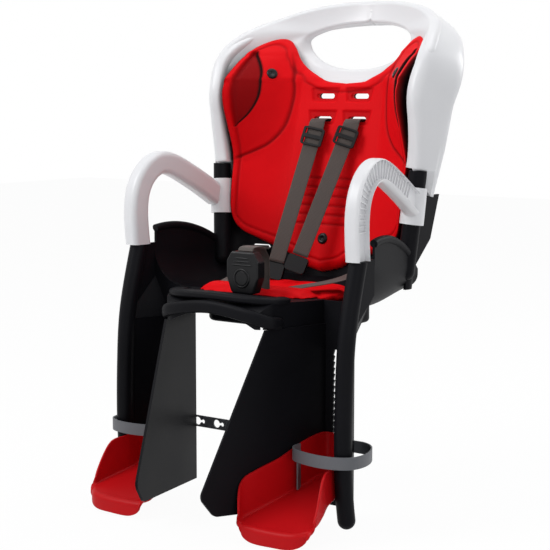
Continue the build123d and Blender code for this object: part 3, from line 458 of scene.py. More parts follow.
# %% [markdown]
# Outlines come as a few points that were measured. Smooth curves go through them: on each span a
# cubic whose slopes at its ends come from the neighbouring points, so no corner shows.

# %% Curve helpers
def cubic(a, b, c, d, f):
    """Cubic from b to c at the share f, with slopes along c - a and d - b."""
    return b + 0.5 * f * (c - a + f * (2 * a - 5 * b + 4 * c - d + f * (3 * (b - c) + d - a)))


def smooth_path(points, count):
    """Open curve through the points, one cubic per span."""
    points = np.asarray(points, float)
    padded = np.vstack([2 * points[0] - points[1], points, 2 * points[-1] - points[-2]])
    t = np.linspace(0.0, len(points) - 1.0, count)
    i = np.minimum(t.astype(int), len(points) - 2)
    f = (t - i)[:, None]
    return cubic(padded[i], padded[i + 1], padded[i + 2], padded[i + 3], f)


def smooth_loop(points, count):
    """Closed curve through the points, made of the same cubics."""
    points = np.asarray(points, float)
    t = np.linspace(0.0, len(points), count, endpoint=False)
    i = t.astype(int)
    return cubic(*(points[(i + k) % len(points)] for k in (-1, 0, 1, 2)), (t - i)[:, None])


def mirrored(half):
    """Points of one side up to the middle, then the same points on the other side."""
    return list(half) + [(-x, y, z) for x, y, z in half[-2::-1]]


def once_round(count):
    """Angles of one full turn."""
    return np.linspace(0.0, 2 * math.pi, count, endpoint=False)


def squared(value, power):
    """Sine or cosine raised to a power with its sign kept, which turns a circle into a superellipse."""
    return np.sign(value) * np.abs(value) ** power


def unit(vectors):
    """Vectors of length one."""
    return vectors / np.linalg.norm(vectors, axis=-1, keepdims=True)


def square_to(vectors, tangent):
    """Unit vectors with their part along the tangent taken away."""
    return unit(vectors - (vectors * tangent).sum(-1, keepdims=True) * tangent)


def step(value, start, end):
    """Smooth change from nothing at the start to one at the end."""
    share = np.clip((value - start) / (end - start), 0.0, 1.0)
    return share * share * (3.0 - 2.0 * share)


def ridge(distance, half):
    """Bell curve of height one, which has fallen to about a third at the half width."""
    return np.exp(-(distance / half) ** 2)


def distance_to(x, z, curve):
    """Distance from points of the front view to a line of short segments."""
    curve = np.asarray(curve, float)
    start, run = curve[:-1], np.diff(curve, axis=0)
    offset = np.stack([x, z], -1)[..., None, :] - start
    share = np.clip((offset * run).sum(-1) / (run * run).sum(-1), 0.0, 1.0)
    return np.linalg.norm(offset - share[..., None] * run, axis=-1).min(-1)


print("half way along a step", float(step(0.5, 0.0, 1.0)))

# %% [markdown]
# The back is a shell whose plan is a rounded box at the waist and an ellipse at the head. The solids
# follow this surface, so the pieces made here use the same few sizes, in metres.

# %% Surface of the back
BACK_BOTTOM = 0.056
BACK_TOP = 0.372
FRAME_LOW = 0.238
WAIST_HALF = 0.178
WIDENING = 0.36
EDGE_DEPTH = 0.073
EDGE_LEAN = 0.06
EDGE_CURVE = 0.18
REAR_DEPTH = 0.1118
REAR_LEAN = 0.237
HEAD_LEAN = 0.5
WAIST_POWER = 5.0
POWER_FALL = 3.0
HEAD_POWER_FALL = 10.0
LEAST_POWER = 1.6


def half_width(z):
    """Half width of the back at height z, which widens as a square towards the shoulders."""
    return WAIST_HALF + WIDENING * (z - BACK_BOTTOM) ** 2


def front_edge(z):
    """Depth of the side walls' front edge."""
    return EDGE_DEPTH + EDGE_LEAN * (z - BACK_BOTTOM) + EDGE_CURVE * (z - BACK_BOTTOM) ** 2


def rear_face(z):
    """Depth of the rear face: a straight lean, steeper above the shoulders."""
    return REAR_DEPTH + REAR_LEAN * (z - BACK_BOTTOM) + HEAD_LEAN * np.maximum(0.0, z - BACK_TOP)


def back_depth(x, z, inset=0.0):
    """Depth of the shell's plan: a superellipse, with exponent 5 at the waist and 2 or less at the head."""
    waist = WAIST_POWER - POWER_FALL * np.clip((z - FRAME_LOW) / (BACK_TOP - FRAME_LOW), 0.0, 1.0)
    power = np.maximum(LEAST_POWER, waist - HEAD_POWER_FALL * np.maximum(0.0, z - BACK_TOP))
    share = np.clip(np.abs(x) / (half_width(z) - inset), 0.0, 1.0)
    return front_edge(z) + (rear_face(z) - inset - front_edge(z)) * (1.0 - share ** power) ** (1.0 / power)


SLOT_X = 0.033
SLOT_ROWS = (0.311, 0.348)
print("depth of the back at the slots", round(float(back_depth(SLOT_X, SLOT_ROWS[0])), 4))

# %% [markdown]
# The head frame is one white moulding: a broad rolled edge that runs up one side, over the head and down
# the other, and a panel with the hand hole. A tube would look like bent pipe, so the edge is a deep
# rounded bar carried along the arch. At the shoulders it reaches forwards as two wings, over the head it
# draws back, and at both ends its rear corner hangs lower than its front.

# %% Path of the rolled edge
LOW_LEVELS = (0.2385, 0.275, 0.312, 0.346)
ARCH = (
    (0.214, 0.382), (0.206, 0.414), (0.182, 0.443), (0.146, 0.463), (0.102, 0.476), (0.050, 0.484),
    (0.0, 0.486),
)
ARCH_CENTRE = np.array([0.0, 0.150, 0.330])
ARCH_POINTS = 200

low_part = [(float(half_width(z)), float(front_edge(z)), z) for z in LOW_LEVELS]
high_part = [(x, float(back_depth(x, z)), z) for x, z in ARCH]
path = smooth_path(mirrored(low_part + high_part), ARCH_POINTS)
tangent = unit(np.gradient(path, axis=0))
outward = square_to(path - ARCH_CENTRE, tangent)
backward = np.cross(tangent, outward)
along_edge = np.linspace(0.0, 1.0, len(path))
from_end = np.minimum(along_edge, 1.0 - along_edge)
print("arch", path.shape, "top at", round(float(path[:, 2].max()), 3))

# %% [markdown]
# The edge's profile is a superellipse. How far it leads in front of the path, how much its front leans
# inwards and how deep it is behind the path change with the distance from its ends, as a share of the
# whole arch.

# %% Rolled edge of the head frame
EDGE_HALF = 0.0140
EDGE_SHIFT = 0.0030
EDGE_ROUND = 0.62
END_LEAD = 0.016
WING_LEAD = 0.031
TOP_DRAW = 0.030
END_LEAN = 0.010
WING_LEAN = 0.0085
TOP_UPRIGHT = 0.0125
END_DEPTH = 0.037
TOP_THIN = 0.009
TAB_DROP = 0.036
TAB_DRAW = 0.012
# Shares of the arch, counted from its ends, over which each of these changes comes in.
LEAD_SPAN = (0.0, 0.18)
DRAW_SPAN = (0.20, 0.36)
LEAN_SPAN = (0.04, 0.19)
UPRIGHT_SPAN = (0.24, 0.42)
THIN_SPAN = (0.02, 0.26)
TAB_SPAN = (0.0, 0.06)
# Share of the profile's depth, from its front, behind which the rear corner hangs lower.
TAB_REAR = (0.70, 0.80)

lead = END_LEAD + WING_LEAD * step(from_end, *LEAD_SPAN) - TOP_DRAW * step(from_end, *DRAW_SPAN)
lean = END_LEAN + WING_LEAN * step(from_end, *LEAN_SPAN) - TOP_UPRIGHT * step(from_end, *UPRIGHT_SPAN)
depth = END_DEPTH - TOP_THIN * step(from_end, *THIN_SPAN)
turn = once_round(96)
bulge = squared(np.cos(turn), EDGE_ROUND)
sweep_back = 0.5 + 0.5 * squared(np.sin(turn), EDGE_ROUND)
back_offset = (lead + depth)[:, None] * sweep_back - lead[:, None]
side_offset = EDGE_SHIFT + EDGE_HALF * bulge - lean[:, None] * (1.0 - sweep_back)
# Each point is the path's point, moved outwards by the side offset and backwards by the back offset.
rim = path[:, None] + side_offset[..., None] * outward[:, None] + back_offset[..., None] * backward[:, None]
tab = step(sweep_back, *TAB_REAR) * (1.0 - step(from_end, *TAB_SPAN))[:, None]
rim[..., 2] -= TAB_DROP * tab
rim[..., 0] -= TAB_DRAW * tab * np.sign(rim[..., 0])
head_rim = grid_piece("head_rim", rim, white_gloss, wrap=True, cap=True)
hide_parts("head_frame")
print("head rim", rim.shape, "depth", round(float(depth.max()), 3))

# %% [markdown]
# The panel round the hand hole is a ring: one direction goes round the hole, the other from the hole to
# the border. Above, the border is a line on the crest of the rolled edge; below, it is a flat curve
# behind the back pad.

# %% Hand hole and border of the panel
HOLE_HALF = 0.098
HOLE_Z = 0.438
HOLE_RISE = 0.029
HOLE_DROP = 0.049
HOLE_SIDE_POWER = 0.9
HOLE_TOP_POWER = 1.1
NOTCH_RISE = 0.0045
NOTCH_HALF = 0.0035
CREST_START = 0.19
CREST_FADE = 0.13
CREST_IN = 0.0060
CREST_LEAD = 0.0025
CREST_SINK = 0.0070
PANEL_LOW = 0.362
PANEL_BACK = 0.0065
PANEL_SQUARE = 0.5
LOW_SPAN = (0.0, 0.6)

angle = once_round(240)
cosine, sine = np.cos(angle), np.sin(angle)
upper = sine >= 0.0
hole_x = HOLE_HALF * squared(cosine, HOLE_SIDE_POWER)
hole_z = HOLE_Z + np.where(upper, HOLE_RISE, HOLE_DROP) * squared(sine, HOLE_TOP_POWER)
hole_z += np.where(upper, NOTCH_RISE, 0.0) * ridge(hole_x, NOTCH_HALF)

proud = CREST_LEAD - CREST_SINK * (1.0 - step(from_end, CREST_START, CREST_START + CREST_FADE))
crest = path + (CREST_IN - lean)[:, None] * outward - (lead + proud)[:, None] * backward
crest_share = CREST_START + (1.0 - 2.0 * CREST_START) * np.clip(angle / math.pi, 0.0, 1.0)
crest_line = np.concatenate([crest, outward, backward], 1)
at_crest = np.stack([np.interp(crest_share, along_edge, column) for column in crest_line.T])
crest_x, crest_y, crest_z = at_crest[:3]
crest_outward, crest_backward = at_crest[3:6].T, at_crest[6:9].T
corner_x, corner_z = crest_x[0], crest_z[0]
corner_forward = back_depth(corner_x, corner_z) - crest_y[0]
low_forward = corner_forward + step(np.abs(sine), *LOW_SPAN) * (PANEL_BACK - corner_forward)
low_z = corner_z + (PANEL_LOW - corner_z) * np.abs(sine) ** PANEL_SQUARE
border_x = np.where(upper, crest_x, corner_x * squared(cosine, PANEL_SQUARE))
border_z = np.where(upper, crest_z, low_z)
border_forward = np.where(upper, back_depth(crest_x, crest_z) - crest_y, low_forward)
print("hand hole", round(float(np.ptp(hole_x)), 3), "by", round(float(np.ptp(hole_z)), 3))

# %% [markdown]
# Between the two curves the panel is a ramp in front of the back's surface: even above the hole, and
# hollow beside it, where the pad's ears need room. Its inner rows turn backwards, so the hole has the
# rounded lip that a hand needs. Its outer rows roll over the crest, so that panel and edge look like one
# moulding.

# %% Panel with the hand hole
HOLE_FORWARD = 0.010
HOLLOW_POWER = 3.0
EVEN_FALL = 1.7
LIP_TURN = 0.012
LIP_SHARE = 0.16
ROLL_R = 0.011
ROLL_ANGLE = np.linspace(0.15, 2.0, 10)[:, None]
PANEL_WALL = 0.0045
PANEL_ROWS = 48
# Spans of the sine of a ray's angle: below the hole it is negative, above it positive.
HOLE_SPAN = (-0.6, 0.1)
EVEN_SPAN = (0.05, 0.55)
ROLL_SPAN = (0.0, 0.2)

out = np.linspace(0.0, 1.0, PANEL_ROWS)[:, None]
x = hole_x + out * (border_x - hole_x)
z = hole_z + out * (border_z - hole_z)
hole_forward = HOLE_FORWARD * step(sine, *HOLE_SPAN)
ramp = out ** (HOLLOW_POWER - EVEN_FALL * step(sine, *EVEN_SPAN))
forward = hole_forward + (border_forward - hole_forward) * ramp
y = back_depth(x, z) - forward + LIP_TURN * (1.0 - step(out, 0.0, LIP_SHARE)) ** 2
front = np.stack([x, y, z], -1)
# The roll is an arc: the radius times the sine of its angle outwards, times one less its cosine backwards.
roll_size = ROLL_R * step(sine, *ROLL_SPAN)
sideways = (roll_size * np.sin(ROLL_ANGLE))[..., None] * crest_outward
rearward = (roll_size * (1.0 - np.cos(ROLL_ANGLE)))[..., None] * crest_backward
panel = np.concatenate([front, front[-1] + sideways + rearward], 0)
head_panel = grid_piece("head_panel", panel, white_gloss, wrap=True)
add_wall(head_panel, PANEL_WALL)
print("head panel", panel.shape)

# %% [markdown]
# The back pad is moulded foam that lies on the shell, so it starts as the shell's surface, cut to an
# outline with two ears at the head and a point between the hips. Each point knows how far inside the
# outline it lies.

# %% Outline of the back pad
PAD_HALF = 0.176
PAD_INSET = 0.0043
PAD_COLUMNS = 281
PAD_ROWS = 241
PAD_TOP = (
    (0.0, 0.368), (0.045, 0.374), (0.085, 0.398), (0.108, 0.425), (0.121, 0.437), (0.138, 0.442),
    (0.154, 0.438), (0.169, 0.426), (0.176, 0.402),
)
PAD_BOTTOM = (
    (0.0, 0.067), (0.033, 0.075), (0.055, 0.087), (0.083, 0.097), (0.125, 0.110), (0.152, 0.122),
    (0.168, 0.142), (0.176, 0.178),
)

across = PAD_HALF * np.sin(np.linspace(-math.pi / 2, math.pi / 2, PAD_COLUMNS))
upward = np.linspace(0.0, 1.0, PAD_ROWS)[:, None]
top_z = np.interp(np.abs(across), *smooth_path(PAD_TOP, count=400).T)
bottom_z = np.interp(np.abs(across), *smooth_path(PAD_BOTTOM, count=400).T)
x = np.repeat(across[None, :], len(upward), 0)
z = bottom_z + upward * (top_z - bottom_z)
aside = np.abs(x)
below_top = (top_z - z) / np.hypot(1, np.gradient(top_z, across))
above_bottom = (z - bottom_z) / np.hypot(1, np.gradient(bottom_z, across))
inside = np.minimum(np.minimum(below_top, above_bottom), PAD_HALF - aside)
under = np.stack([x, back_depth(x, z, PAD_INSET), z], -1)
towards = unit(np.cross(np.gradient(under, axis=0), np.gradient(under, axis=1)))
towards *= -np.sign(towards[..., 1:2])
print("pad outline", x.shape, "deepest inside", round(float(inside.max()), 3))

# %% [markdown]
# A mould presses detail into the foam: a bead along the outline, an arc seam that sets off each ear, a
# pocket in each ear, ribs low in the middle and sunk places round the strap slots. Each is a mask from
# nothing to one.

# %% Detail of the back pad
EAR_SEAM = (
    (0.124, 0.440), (0.108, 0.415), (0.097, 0.388), (0.091, 0.360), (0.092, 0.330), (0.100, 0.295),
    (0.119, 0.270), (0.140, 0.257), (0.170, 0.243),
)
SEAM_HALF = 0.0026
SEAM_FADE = (0.006, 0.014)
POCKET_EDGE = (
    (0.2965, 0.161), (0.318, 0.143), (0.340, 0.133), (0.360, 0.130), (0.380, 0.1325), (0.400, 0.143),
    (0.415, 0.156),
)
POCKET_RIM = 0.165
POCKET_FADE = (0.0, 0.004)
WALL_RISE = (-0.001, 0.001)
WALL_FALL = (0.004, 0.0075)
BEAD_IN = 0.016
BEAD_HALF = 0.0022
RIB_ROWS = np.linspace(0.141, 0.214, 6)
RIB_HALF = 0.0022
RIB_ENDS = (0.055, 0.070)
SUNK_HALF = 0.022
SUNK_FLARE = 0.25
SUNK_SIDES = (0.0, 0.005)
SUNK_ENDS = (0.009, 0.013)

seam = distance_to(aside, z, smooth_path(EAR_SEAM, count=40))
groove = ridge(seam, SEAM_HALF) * step(inside, *SEAM_FADE)
bead = ridge(inside - BEAD_IN, BEAD_HALF)
ribs = ridge(z[..., None] - RIB_ROWS, RIB_HALF).sum(-1) * (1.0 - step(aside, *RIB_ENDS))

pocket_start = np.interp(z, *smooth_path(POCKET_EDGE, count=120).T, left=1.0, right=1.0)
from_start, from_rim = aside - pocket_start, POCKET_RIM - aside
into_pocket = np.minimum(from_start, from_rim)
pocket = step(into_pocket, *POCKET_FADE)
# The mask of the pocket's undercut wall is used only for painted shade.
at_wall = step(into_pocket, *WALL_RISE) * (1.0 - step(into_pocket, *WALL_FALL))
pocket_wall = at_wall * (from_start < from_rim)

from_rows = z[..., None] - np.array(SLOT_ROWS)
nearest_row = np.abs(from_rows).argmin(-1)[..., None]
above_slot = np.take_along_axis(from_rows, nearest_row, -1)[..., 0]
beside_slot = np.abs(aside - SLOT_X) - (SUNK_HALF + SUNK_FLARE * above_slot)
sunk = (1 - step(beside_slot, *SUNK_SIDES)) * (1 - step(np.abs(above_slot), *SUNK_ENDS))
print("shares of the pad: pockets", round(float(pocket.mean()), 3), "sunk", round(float(sunk.mean()), 3))

# %% [markdown]
# The foam grows from the shell along its normals, with rounded edges, and each detail takes a little of
# that thickness. Then the ears curl forwards, most at the shoulders; the underside follows, and above the
# shell it also keeps clear of the head panel. The underside and the ears' side walls are painted black as
# painted shade, for the dark gap that shows between the ears and the head frame.

# %% Back pad
PAD_THICK = 0.0125
PAD_ROUND = 0.013
BEAD_DEEP = 0.0016
SEAM_DEEP = 0.0024
RIB_DEEP = 0.0014
SUNK_DEEP = 0.0032
POCKET_DEEP = 0.006
EAR_PUFF = 0.002
PUFF_FROM_SEAM = (0.0, 0.030)
PUFF_ASIDE = (0.09, 0.13)
EAR_START = 0.080
EAR_FULL = 0.1645
EAR_BEND = 1.35
EAR_MOST = 1.2
EAR_FADE = (0.0, 0.006)
EAR_LIFT = (
    (0.10, 0.020), (0.18, 0.031), (0.25, 0.038), (0.30, 0.059), (0.335, 0.073), (0.365, 0.072),
    (0.40, 0.044), (0.42, 0.017), (0.44, 0.005),
)
UNDER_SHARE = 0.85
OFF_PANEL = 0.010
OFF_PANEL_SPAN = (0.370, 0.392)
SIDE_WALL_IN = (0.004, 0.008)
SIDE_WALL_ASIDE = (0.140, 0.152)
POCKET_SHADE = 0.62
BEAD_SHADE = 0.5
RIB_SHADE = 0.6
SUNK_SHADE = 0.35

swell = np.sqrt(1.0 - (1.0 - np.clip(inside / PAD_ROUND, 0.0, 1.0)) ** 2)
rise = PAD_THICK * swell - BEAD_DEEP * bead - SEAM_DEEP * groove - RIB_DEEP * ribs
rise -= SUNK_DEEP * sunk + POCKET_DEEP * pocket
rise += EAR_PUFF * step(seam, *PUFF_FROM_SEAM) * step(aside, *PUFF_ASIDE) * swell
bend = np.clip((aside - EAR_START) / (EAR_FULL - EAR_START), 0.0, EAR_MOST) ** EAR_BEND
ear = np.interp(z, *smooth_path(EAR_LIFT, count=200).T) * bend * step(inside, *EAR_FADE)
# The top is the underside plus the rise along the normal; both then move forwards by the ear's curl.
over = under + rise[..., None] * towards
over[..., 1] -= ear
under[..., 1] -= UNDER_SHARE * ear + OFF_PANEL * step(z, *OFF_PANEL_SPAN)
over[..., 1] = np.minimum(over[..., 1], under[..., 1])
sheet = np.concatenate([over, under[::-1]], 0)

# Painted shade: the pockets darkened, their undercut wall and the ears' side walls near-black.
side_wall = (1.0 - step(inside, *SIDE_WALL_IN)) * step(aside, *SIDE_WALL_ASIDE)
painted_shade = np.maximum.reduce([POCKET_SHADE * pocket, pocket_wall, side_wall])
# Painted shade in the recesses: the seam groove, the bead, the ribs and the sunk places get a deeper red.
recess_shade = groove + BEAD_SHADE * bead + RIB_SHADE * ribs + SUNK_SHADE * sunk
# The underside gets the pocket attribute everywhere, so all of it is painted black as shade.
masks = {
    "pocket": np.concatenate([painted_shade, np.ones_like(painted_shade)], 0),
    "groove": np.concatenate([np.clip(recess_shade, 0.0, 1.0), np.zeros_like(recess_shade)], 0),
}
back_pad = grid_piece("back_pad_foam", sheet, pad_red, masks=masks)
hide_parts("back_pad")
print("back pad", sheet.shape, "thickness", round(float(rise.max()), 4))

# %% [markdown]
# The strap slots are real holes, because the light behind the seat shows through the upper pair. A
# boolean cut with four stadium-shaped prisms makes them after the surface is done.

# %% Slots in the back pad
SLOT_HALF = 0.0172
SLOT_R = 0.0042
CUT_DEPTHS = (0.12, 0.22)

round_end = np.linspace(-math.pi / 2, math.pi / 2, 12)
right_end = np.stack([SLOT_HALF - SLOT_R + SLOT_R * np.cos(round_end), SLOT_R * np.sin(round_end)], -1)
stadium = np.concatenate([right_end, -right_end])
cutters = []
for label, side in SIDES:
    for row in SLOT_ROWS:
        slot_x, slot_z = side * SLOT_X + stadium[:, 0], row + stadium[:, 1]
        ends = [np.stack([slot_x, np.full_like(slot_x, y), slot_z], -1) for y in CUT_DEPTHS]
        cutters.append(grid_piece("slot_cutter", np.stack(ends), pad_red, wrap=True, cap=True))
for cutter in cutters:
    cut = back_pad.modifiers.new("slot", "BOOLEAN")
    cut.operation = "DIFFERENCE"
    cut.solver = "EXACT"
    cut.object = cutter
back_pad.data = made_mesh(back_pad)
back_pad.modifiers.clear()
for cutter in cutters:
    bpy.data.objects.remove(cutter)
print("back pad cut", len(back_pad.data.vertices), [a.name for a in back_pad.data.attributes])

# %% [markdown]
# The seat pad is a thin cushion on the bucket's floor: a rounded square, seen from above, with a crowned
# top and a flat underside. It starts a little smaller than the solid, because it swells.

# %% Seat pad
SEAT_HALF = 0.110
SEAT_FRONT = -0.102
SEAT_REAR = 0.080
SEAT_THICK = 0.0075
SEAT_LIFT = 0.0012
SEAT_CORNER = 0.22
SEAT_EDGE = 0.12
CORNER_POWER = 4
CROWN_POWER = 8
SEAT_POINTS = 61
BOWL_LOW = 0.0383
BOWL_Y = 0.012
BOWL_CURVE = 2.6
NOSE_Y = -0.062
NOSE_Z = 0.0525
NOSE_SLOPE = 0.0307


def bucket_top(y):
    """Height of the bucket's floor, a shallow curve that runs on over the nose as a straight ramp."""
    bowl = BOWL_LOW + BOWL_CURVE * (y - BOWL_Y) ** 2
    ramp = NOSE_Z + NOSE_SLOPE * (NOSE_Y - y)
    return np.where(y > NOSE_Y, bowl, ramp)


share = np.linspace(-1.0, 1.0, SEAT_POINTS)
u, v = np.meshgrid(share, share)
seat_middle = (SEAT_REAR + SEAT_FRONT) / 2
seat_length = (SEAT_REAR - SEAT_FRONT) / 2
x = SEAT_HALF * u * np.sqrt(1.0 - SEAT_CORNER * v ** CORNER_POWER)
y = seat_middle + seat_length * v * np.sqrt(1.0 - SEAT_CORNER * u ** CORNER_POWER)
crown = np.sqrt(np.maximum(0.0, 1.0 - np.maximum(np.abs(u), np.abs(v)) ** CROWN_POWER))
ground = bucket_top(y) + SEAT_LIFT
upper_side = np.stack([x, y, ground + SEAT_THICK * (SEAT_EDGE + (1.0 - SEAT_EDGE) * crown)], -1)
under_side = np.stack([x, y, ground], -1)
seat_pad = grid_piece("seat_pad_cushion", np.concatenate([upper_side, under_side[::-1]], 0), pad_red)
shaped = bmesh.new()
shaped.from_mesh(seat_pad.data)
open_edges = [edge for edge in shaped.edges if edge.is_boundary]
bmesh.ops.holes_fill(shaped, edges=open_edges, sides=0)
bmesh.ops.recalc_face_normals(shaped, faces=shaped.faces)
shaped.to_mesh(seat_pad.data)
shaped.free()
print("seat cushion start", len(seat_pad.data.vertices))

# %% [markdown]
# Cloth with a little pressure inside gives the cushion the soft crown and the small wrinkles of a sewn
# cover. Its points are free to move by a few millimetres only, so that it stays in the space that its
# solid holds, and a stitched line runs round it inside its edge.

# %% Swell the seat pad
VOXEL = 0.005
CLOTH_FRAMES = 20
CLOTH_PRESSURE = 4.0
CLOTH_QUALITY = 5
SWELL_CAP = 0.005
LEAST_MOVE = 1e-9
FLOOR_GAP = 0.0004
STITCH_AT = 0.86
STITCH_HALF = 0.018
STITCH_DEEP = 0.0012


def points_of(piece):
    """Places of a piece's points."""
    places = np.empty(len(piece.data.vertices) * 3)
    piece.data.vertices.foreach_get("co", places)
    return places.reshape(-1, 3)


remesh = seat_pad.modifiers.new("voxels", "REMESH")
remesh.mode = "VOXEL"
remesh.voxel_size = VOXEL
seat_pad.data = made_mesh(seat_pad)
seat_pad.modifiers.clear()
start = points_of(seat_pad)
cloth = seat_pad.modifiers.new("cloth", "CLOTH")
cloth.settings.use_pressure = True
cloth.settings.uniform_pressure_force = CLOTH_PRESSURE
cloth.settings.effector_weights.gravity = 0.0
cloth.settings.quality = CLOTH_QUALITY
for number in range(1, CLOTH_FRAMES + 1):
    scene.frame_set(number)
seat_pad.data = made_mesh(seat_pad)
seat_pad.modifiers.clear()
scene.frame_set(1)
move = points_of(seat_pad) - start
moved = np.linalg.norm(move, axis=-1, keepdims=True)
settled = start + move * np.minimum(1.0, SWELL_CAP / np.maximum(moved, LEAST_MOVE))
settled[:, 2] = np.maximum(settled[:, 2], bucket_top(settled[:, 1]) + FLOOR_GAP)
share_x = np.abs(settled[:, 0]) / SEAT_HALF
share_y = np.abs(settled[:, 1] - seat_middle) / seat_length
settled[:, 2] -= STITCH_DEEP * ridge(np.maximum(share_x, share_y) - STITCH_AT, STITCH_HALF)
seat_pad.data.vertices.foreach_set("co", settled.ravel())
seat_pad.data.update()
seat_pad.data.polygons.foreach_set("use_smooth", [True] * len(seat_pad.data.polygons))
if not seat_pad.data.materials:
    seat_pad.data.materials.append(pad_red)
finer = seat_pad.modifiers.new("finer", "SUBSURF")
finer.levels = finer.render_levels = 1
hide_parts("seat_pad")
print("seat pad", len(settled), "largest move", round(float(moved.max()), 4))

# %% [markdown]
# Webbing is a flat woven strip with soft edges. Each strap is one profile, a flat rounded strip, carried
# along the strap's path; two directions at each point say where its width and its face look. Its map
# counts metres across and along, so the weave has the same scale on every strap.

# %% Webbing helper
WEB_HALF = 0.0131
WEB_THICK = 0.0008
WEB_SQUARE = 0.35
WEB_SOFT = 0.5


def strap(name, points, widths, node, count=90):
    """Strip along a smooth path: a flat superellipse set out along the width and the face at each point."""
    path = smooth_path(points, count)
    tangent = unit(np.gradient(path, axis=0))
    width = square_to(unit(smooth_path(widths, count)), tangent)
    face = np.cross(tangent, width)
    turn = once_round(36)
    wide = WEB_HALF * squared(np.cos(turn), WEB_SQUARE)
    thick = WEB_THICK * squared(np.sin(turn), WEB_SOFT)
    grid = path[:, None] + wide[None, :, None] * width[:, None] + thick[None, :, None] * face[:, None]
    run = np.concatenate([[0.0], np.cumsum(np.linalg.norm(np.diff(path, axis=0), axis=-1))])
    uv = np.stack(np.broadcast_arrays(wide[None, :], run[:, None]), -1)
    piece = grid_piece(name, grid, webbing, wrap=True, cap=True, uv=uv)
    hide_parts(node)
    print(name, "length", round(float(run[-1]), 3))


# %% [markdown]
# A shoulder strap starts at its tail behind the back, comes through its slot and hangs down to its tongue
# with its flat side to the front.

# %% Shoulder straps
FOAM_FACE = 0.0173
TAIL_ABOVE = 0.004
TAIL_GAP = 0.0011
SLOT_FACE = float(back_depth(SLOT_X, SLOT_ROWS[0], FOAM_FACE))
SLOT_BACK = float(rear_face(SLOT_ROWS[0] - TAIL_ABOVE)) + TAIL_GAP
TAIL = 0.042
NECK_OUT = 0.014
NECK_DROP = 0.009
SHOULDER_ENDS = {"left": (-0.057, 0.062, 0.084), "right": (-0.009, 0.060, 0.098)}
FACING = np.array([0.25, -1.0, 0.0])
LEVEL = np.array([1.0, 0.0, 0.0])

row = SLOT_ROWS[0]
for label, side in SIDES:
    end = np.array(SHOULDER_ENDS[label])
    neck = np.array([side * SLOT_X, SLOT_FACE - NECK_OUT, row - NECK_DROP])
    run = end - neck
    hanging = np.cross(run, FACING)
    hanging = unit(hanging * np.sign(hanging[0]))
    # Down the back, round the slot's lower edge, through it, over the foam and down to the tongue.
    points = [
        (side * SLOT_X, SLOT_BACK, row - TAIL), (side * SLOT_X, SLOT_BACK, row - 0.012),
        (side * SLOT_X, SLOT_BACK - 0.004, row - 0.001), (side * SLOT_X, SLOT_FACE - 0.004, row),
        neck + (0.0, 0.003, 0.006), neck + 0.05 * run, neck + 0.5 * run, end,
    ]
    widths = [LEVEL] * 4 + [0.6 * LEVEL + 0.4 * hanging] + [hanging] * 3
    strap(f"shoulder_web_{label}", points, widths, f"shoulder_strap_{label}", count=160)

# %% [markdown]
# The lap straps come out of the shell beside the hips and lie on the seat pad. The crotch strap comes up
# through the nose and turns over into the top of the buckle.

# %% Lap and crotch straps
HIP_X = 0.126
HIP_Z = 0.100
HIP_INSET = 0.004
HIP_Y = float(back_depth(HIP_X, HIP_Z, HIP_INSET))
HIP_TURN = 0.012
LAP_X = 0.062
LAP_Y = -0.060
LAP_LIFT = 0.0125
LAP_Z = float(bucket_top(np.array(LAP_Y))) + LAP_LIFT
LAP_ARCH = 0.008
CROTCH_X = 0.024
CROTCH_Y = -0.0851
BUCKLE_Y = -0.128
CROTCH_RUN = (
    (CROTCH_Y, 0.032), (CROTCH_Y, 0.100), (CROTCH_Y - 0.008, 0.122), (CROTCH_Y - 0.018, 0.1285),
    (BUCKLE_Y + 0.006, 0.1285), (BUCKLE_Y, 0.1235),
)

for label, side in SIDES:
    top = np.array([side * HIP_X, HIP_Y, HIP_Z])
    end = np.array([side * LAP_X, LAP_Y, LAP_Z])
    level_run = unit((end - top) * (1.0, 1.0, 0.0))
    half_way = (top + end) / 2
    half_way[2] = LAP_Z + LAP_ARCH
    points = [
        top - HIP_TURN * level_run - (0.0, 0.0, TAIL), top - HIP_TURN * level_run - (0.0, 0.0, 0.010), top,
        top + HIP_TURN * level_run - (0.0, 0.0, 0.001), half_way, end,
    ]
    across_lap = np.cross(level_run, (0.0, 0.0, 1.0))
    strap(f"lap_web_{label}", points, [across_lap] * len(points), f"lap_strap_{label}")

points = [(CROTCH_X, y, z) for y, z in CROTCH_RUN]
strap("crotch_web", points, [LEVEL] * len(points), "crotch_strap")

# %% [markdown]
# A footrest is a moulded tray: its floor slopes down to the toe, its rim rises into walls at the heel and
# both sides, and at the toe the same rim rolls down into a lip. One surface does all of it: rays run from
# the middle of the floor to the outline, bend there by an angle that depends on the wall's height, and go
# on straight, up or down.

# %% Surface of a footrest
TREAD_SLOPE = math.tan(math.radians(16.0))
HEEL_Y = -0.0675
HEEL_Z = -0.206
TREAD_MIDDLE = (0.145, -0.150)
RIM_BEND = 0.006
RIM_TURN = 0.012
BEND_ROWS = 10
WALL_ROWS = 12
LEAST_WALL = 0.0005
TREAD_ROWS = 14
LOOP_POINTS = 260
TRAY_LOOP = (
    (0.1275, -0.0705, 0.064), (0.1158, -0.110, 0.066), (0.1038, -0.150, 0.060), (0.0912, -0.192, 0.060),
    (0.0842, -0.215, 0.056), (0.0852, -0.226, 0.036), (0.0930, -0.2330, -0.006), (0.110, -0.2355, -0.021),
    (0.150, -0.2365, -0.022), (0.184, -0.2325, -0.021), (0.2005, -0.2205, -0.010), (0.2045, -0.205, 0.022),
    (0.1985, -0.181, 0.055), (0.1885, -0.152, 0.054), (0.1868, -0.124, 0.051), (0.178, -0.095, 0.058),
    (0.168, -0.073, 0.060), (0.150, -0.0692, 0.062),
)


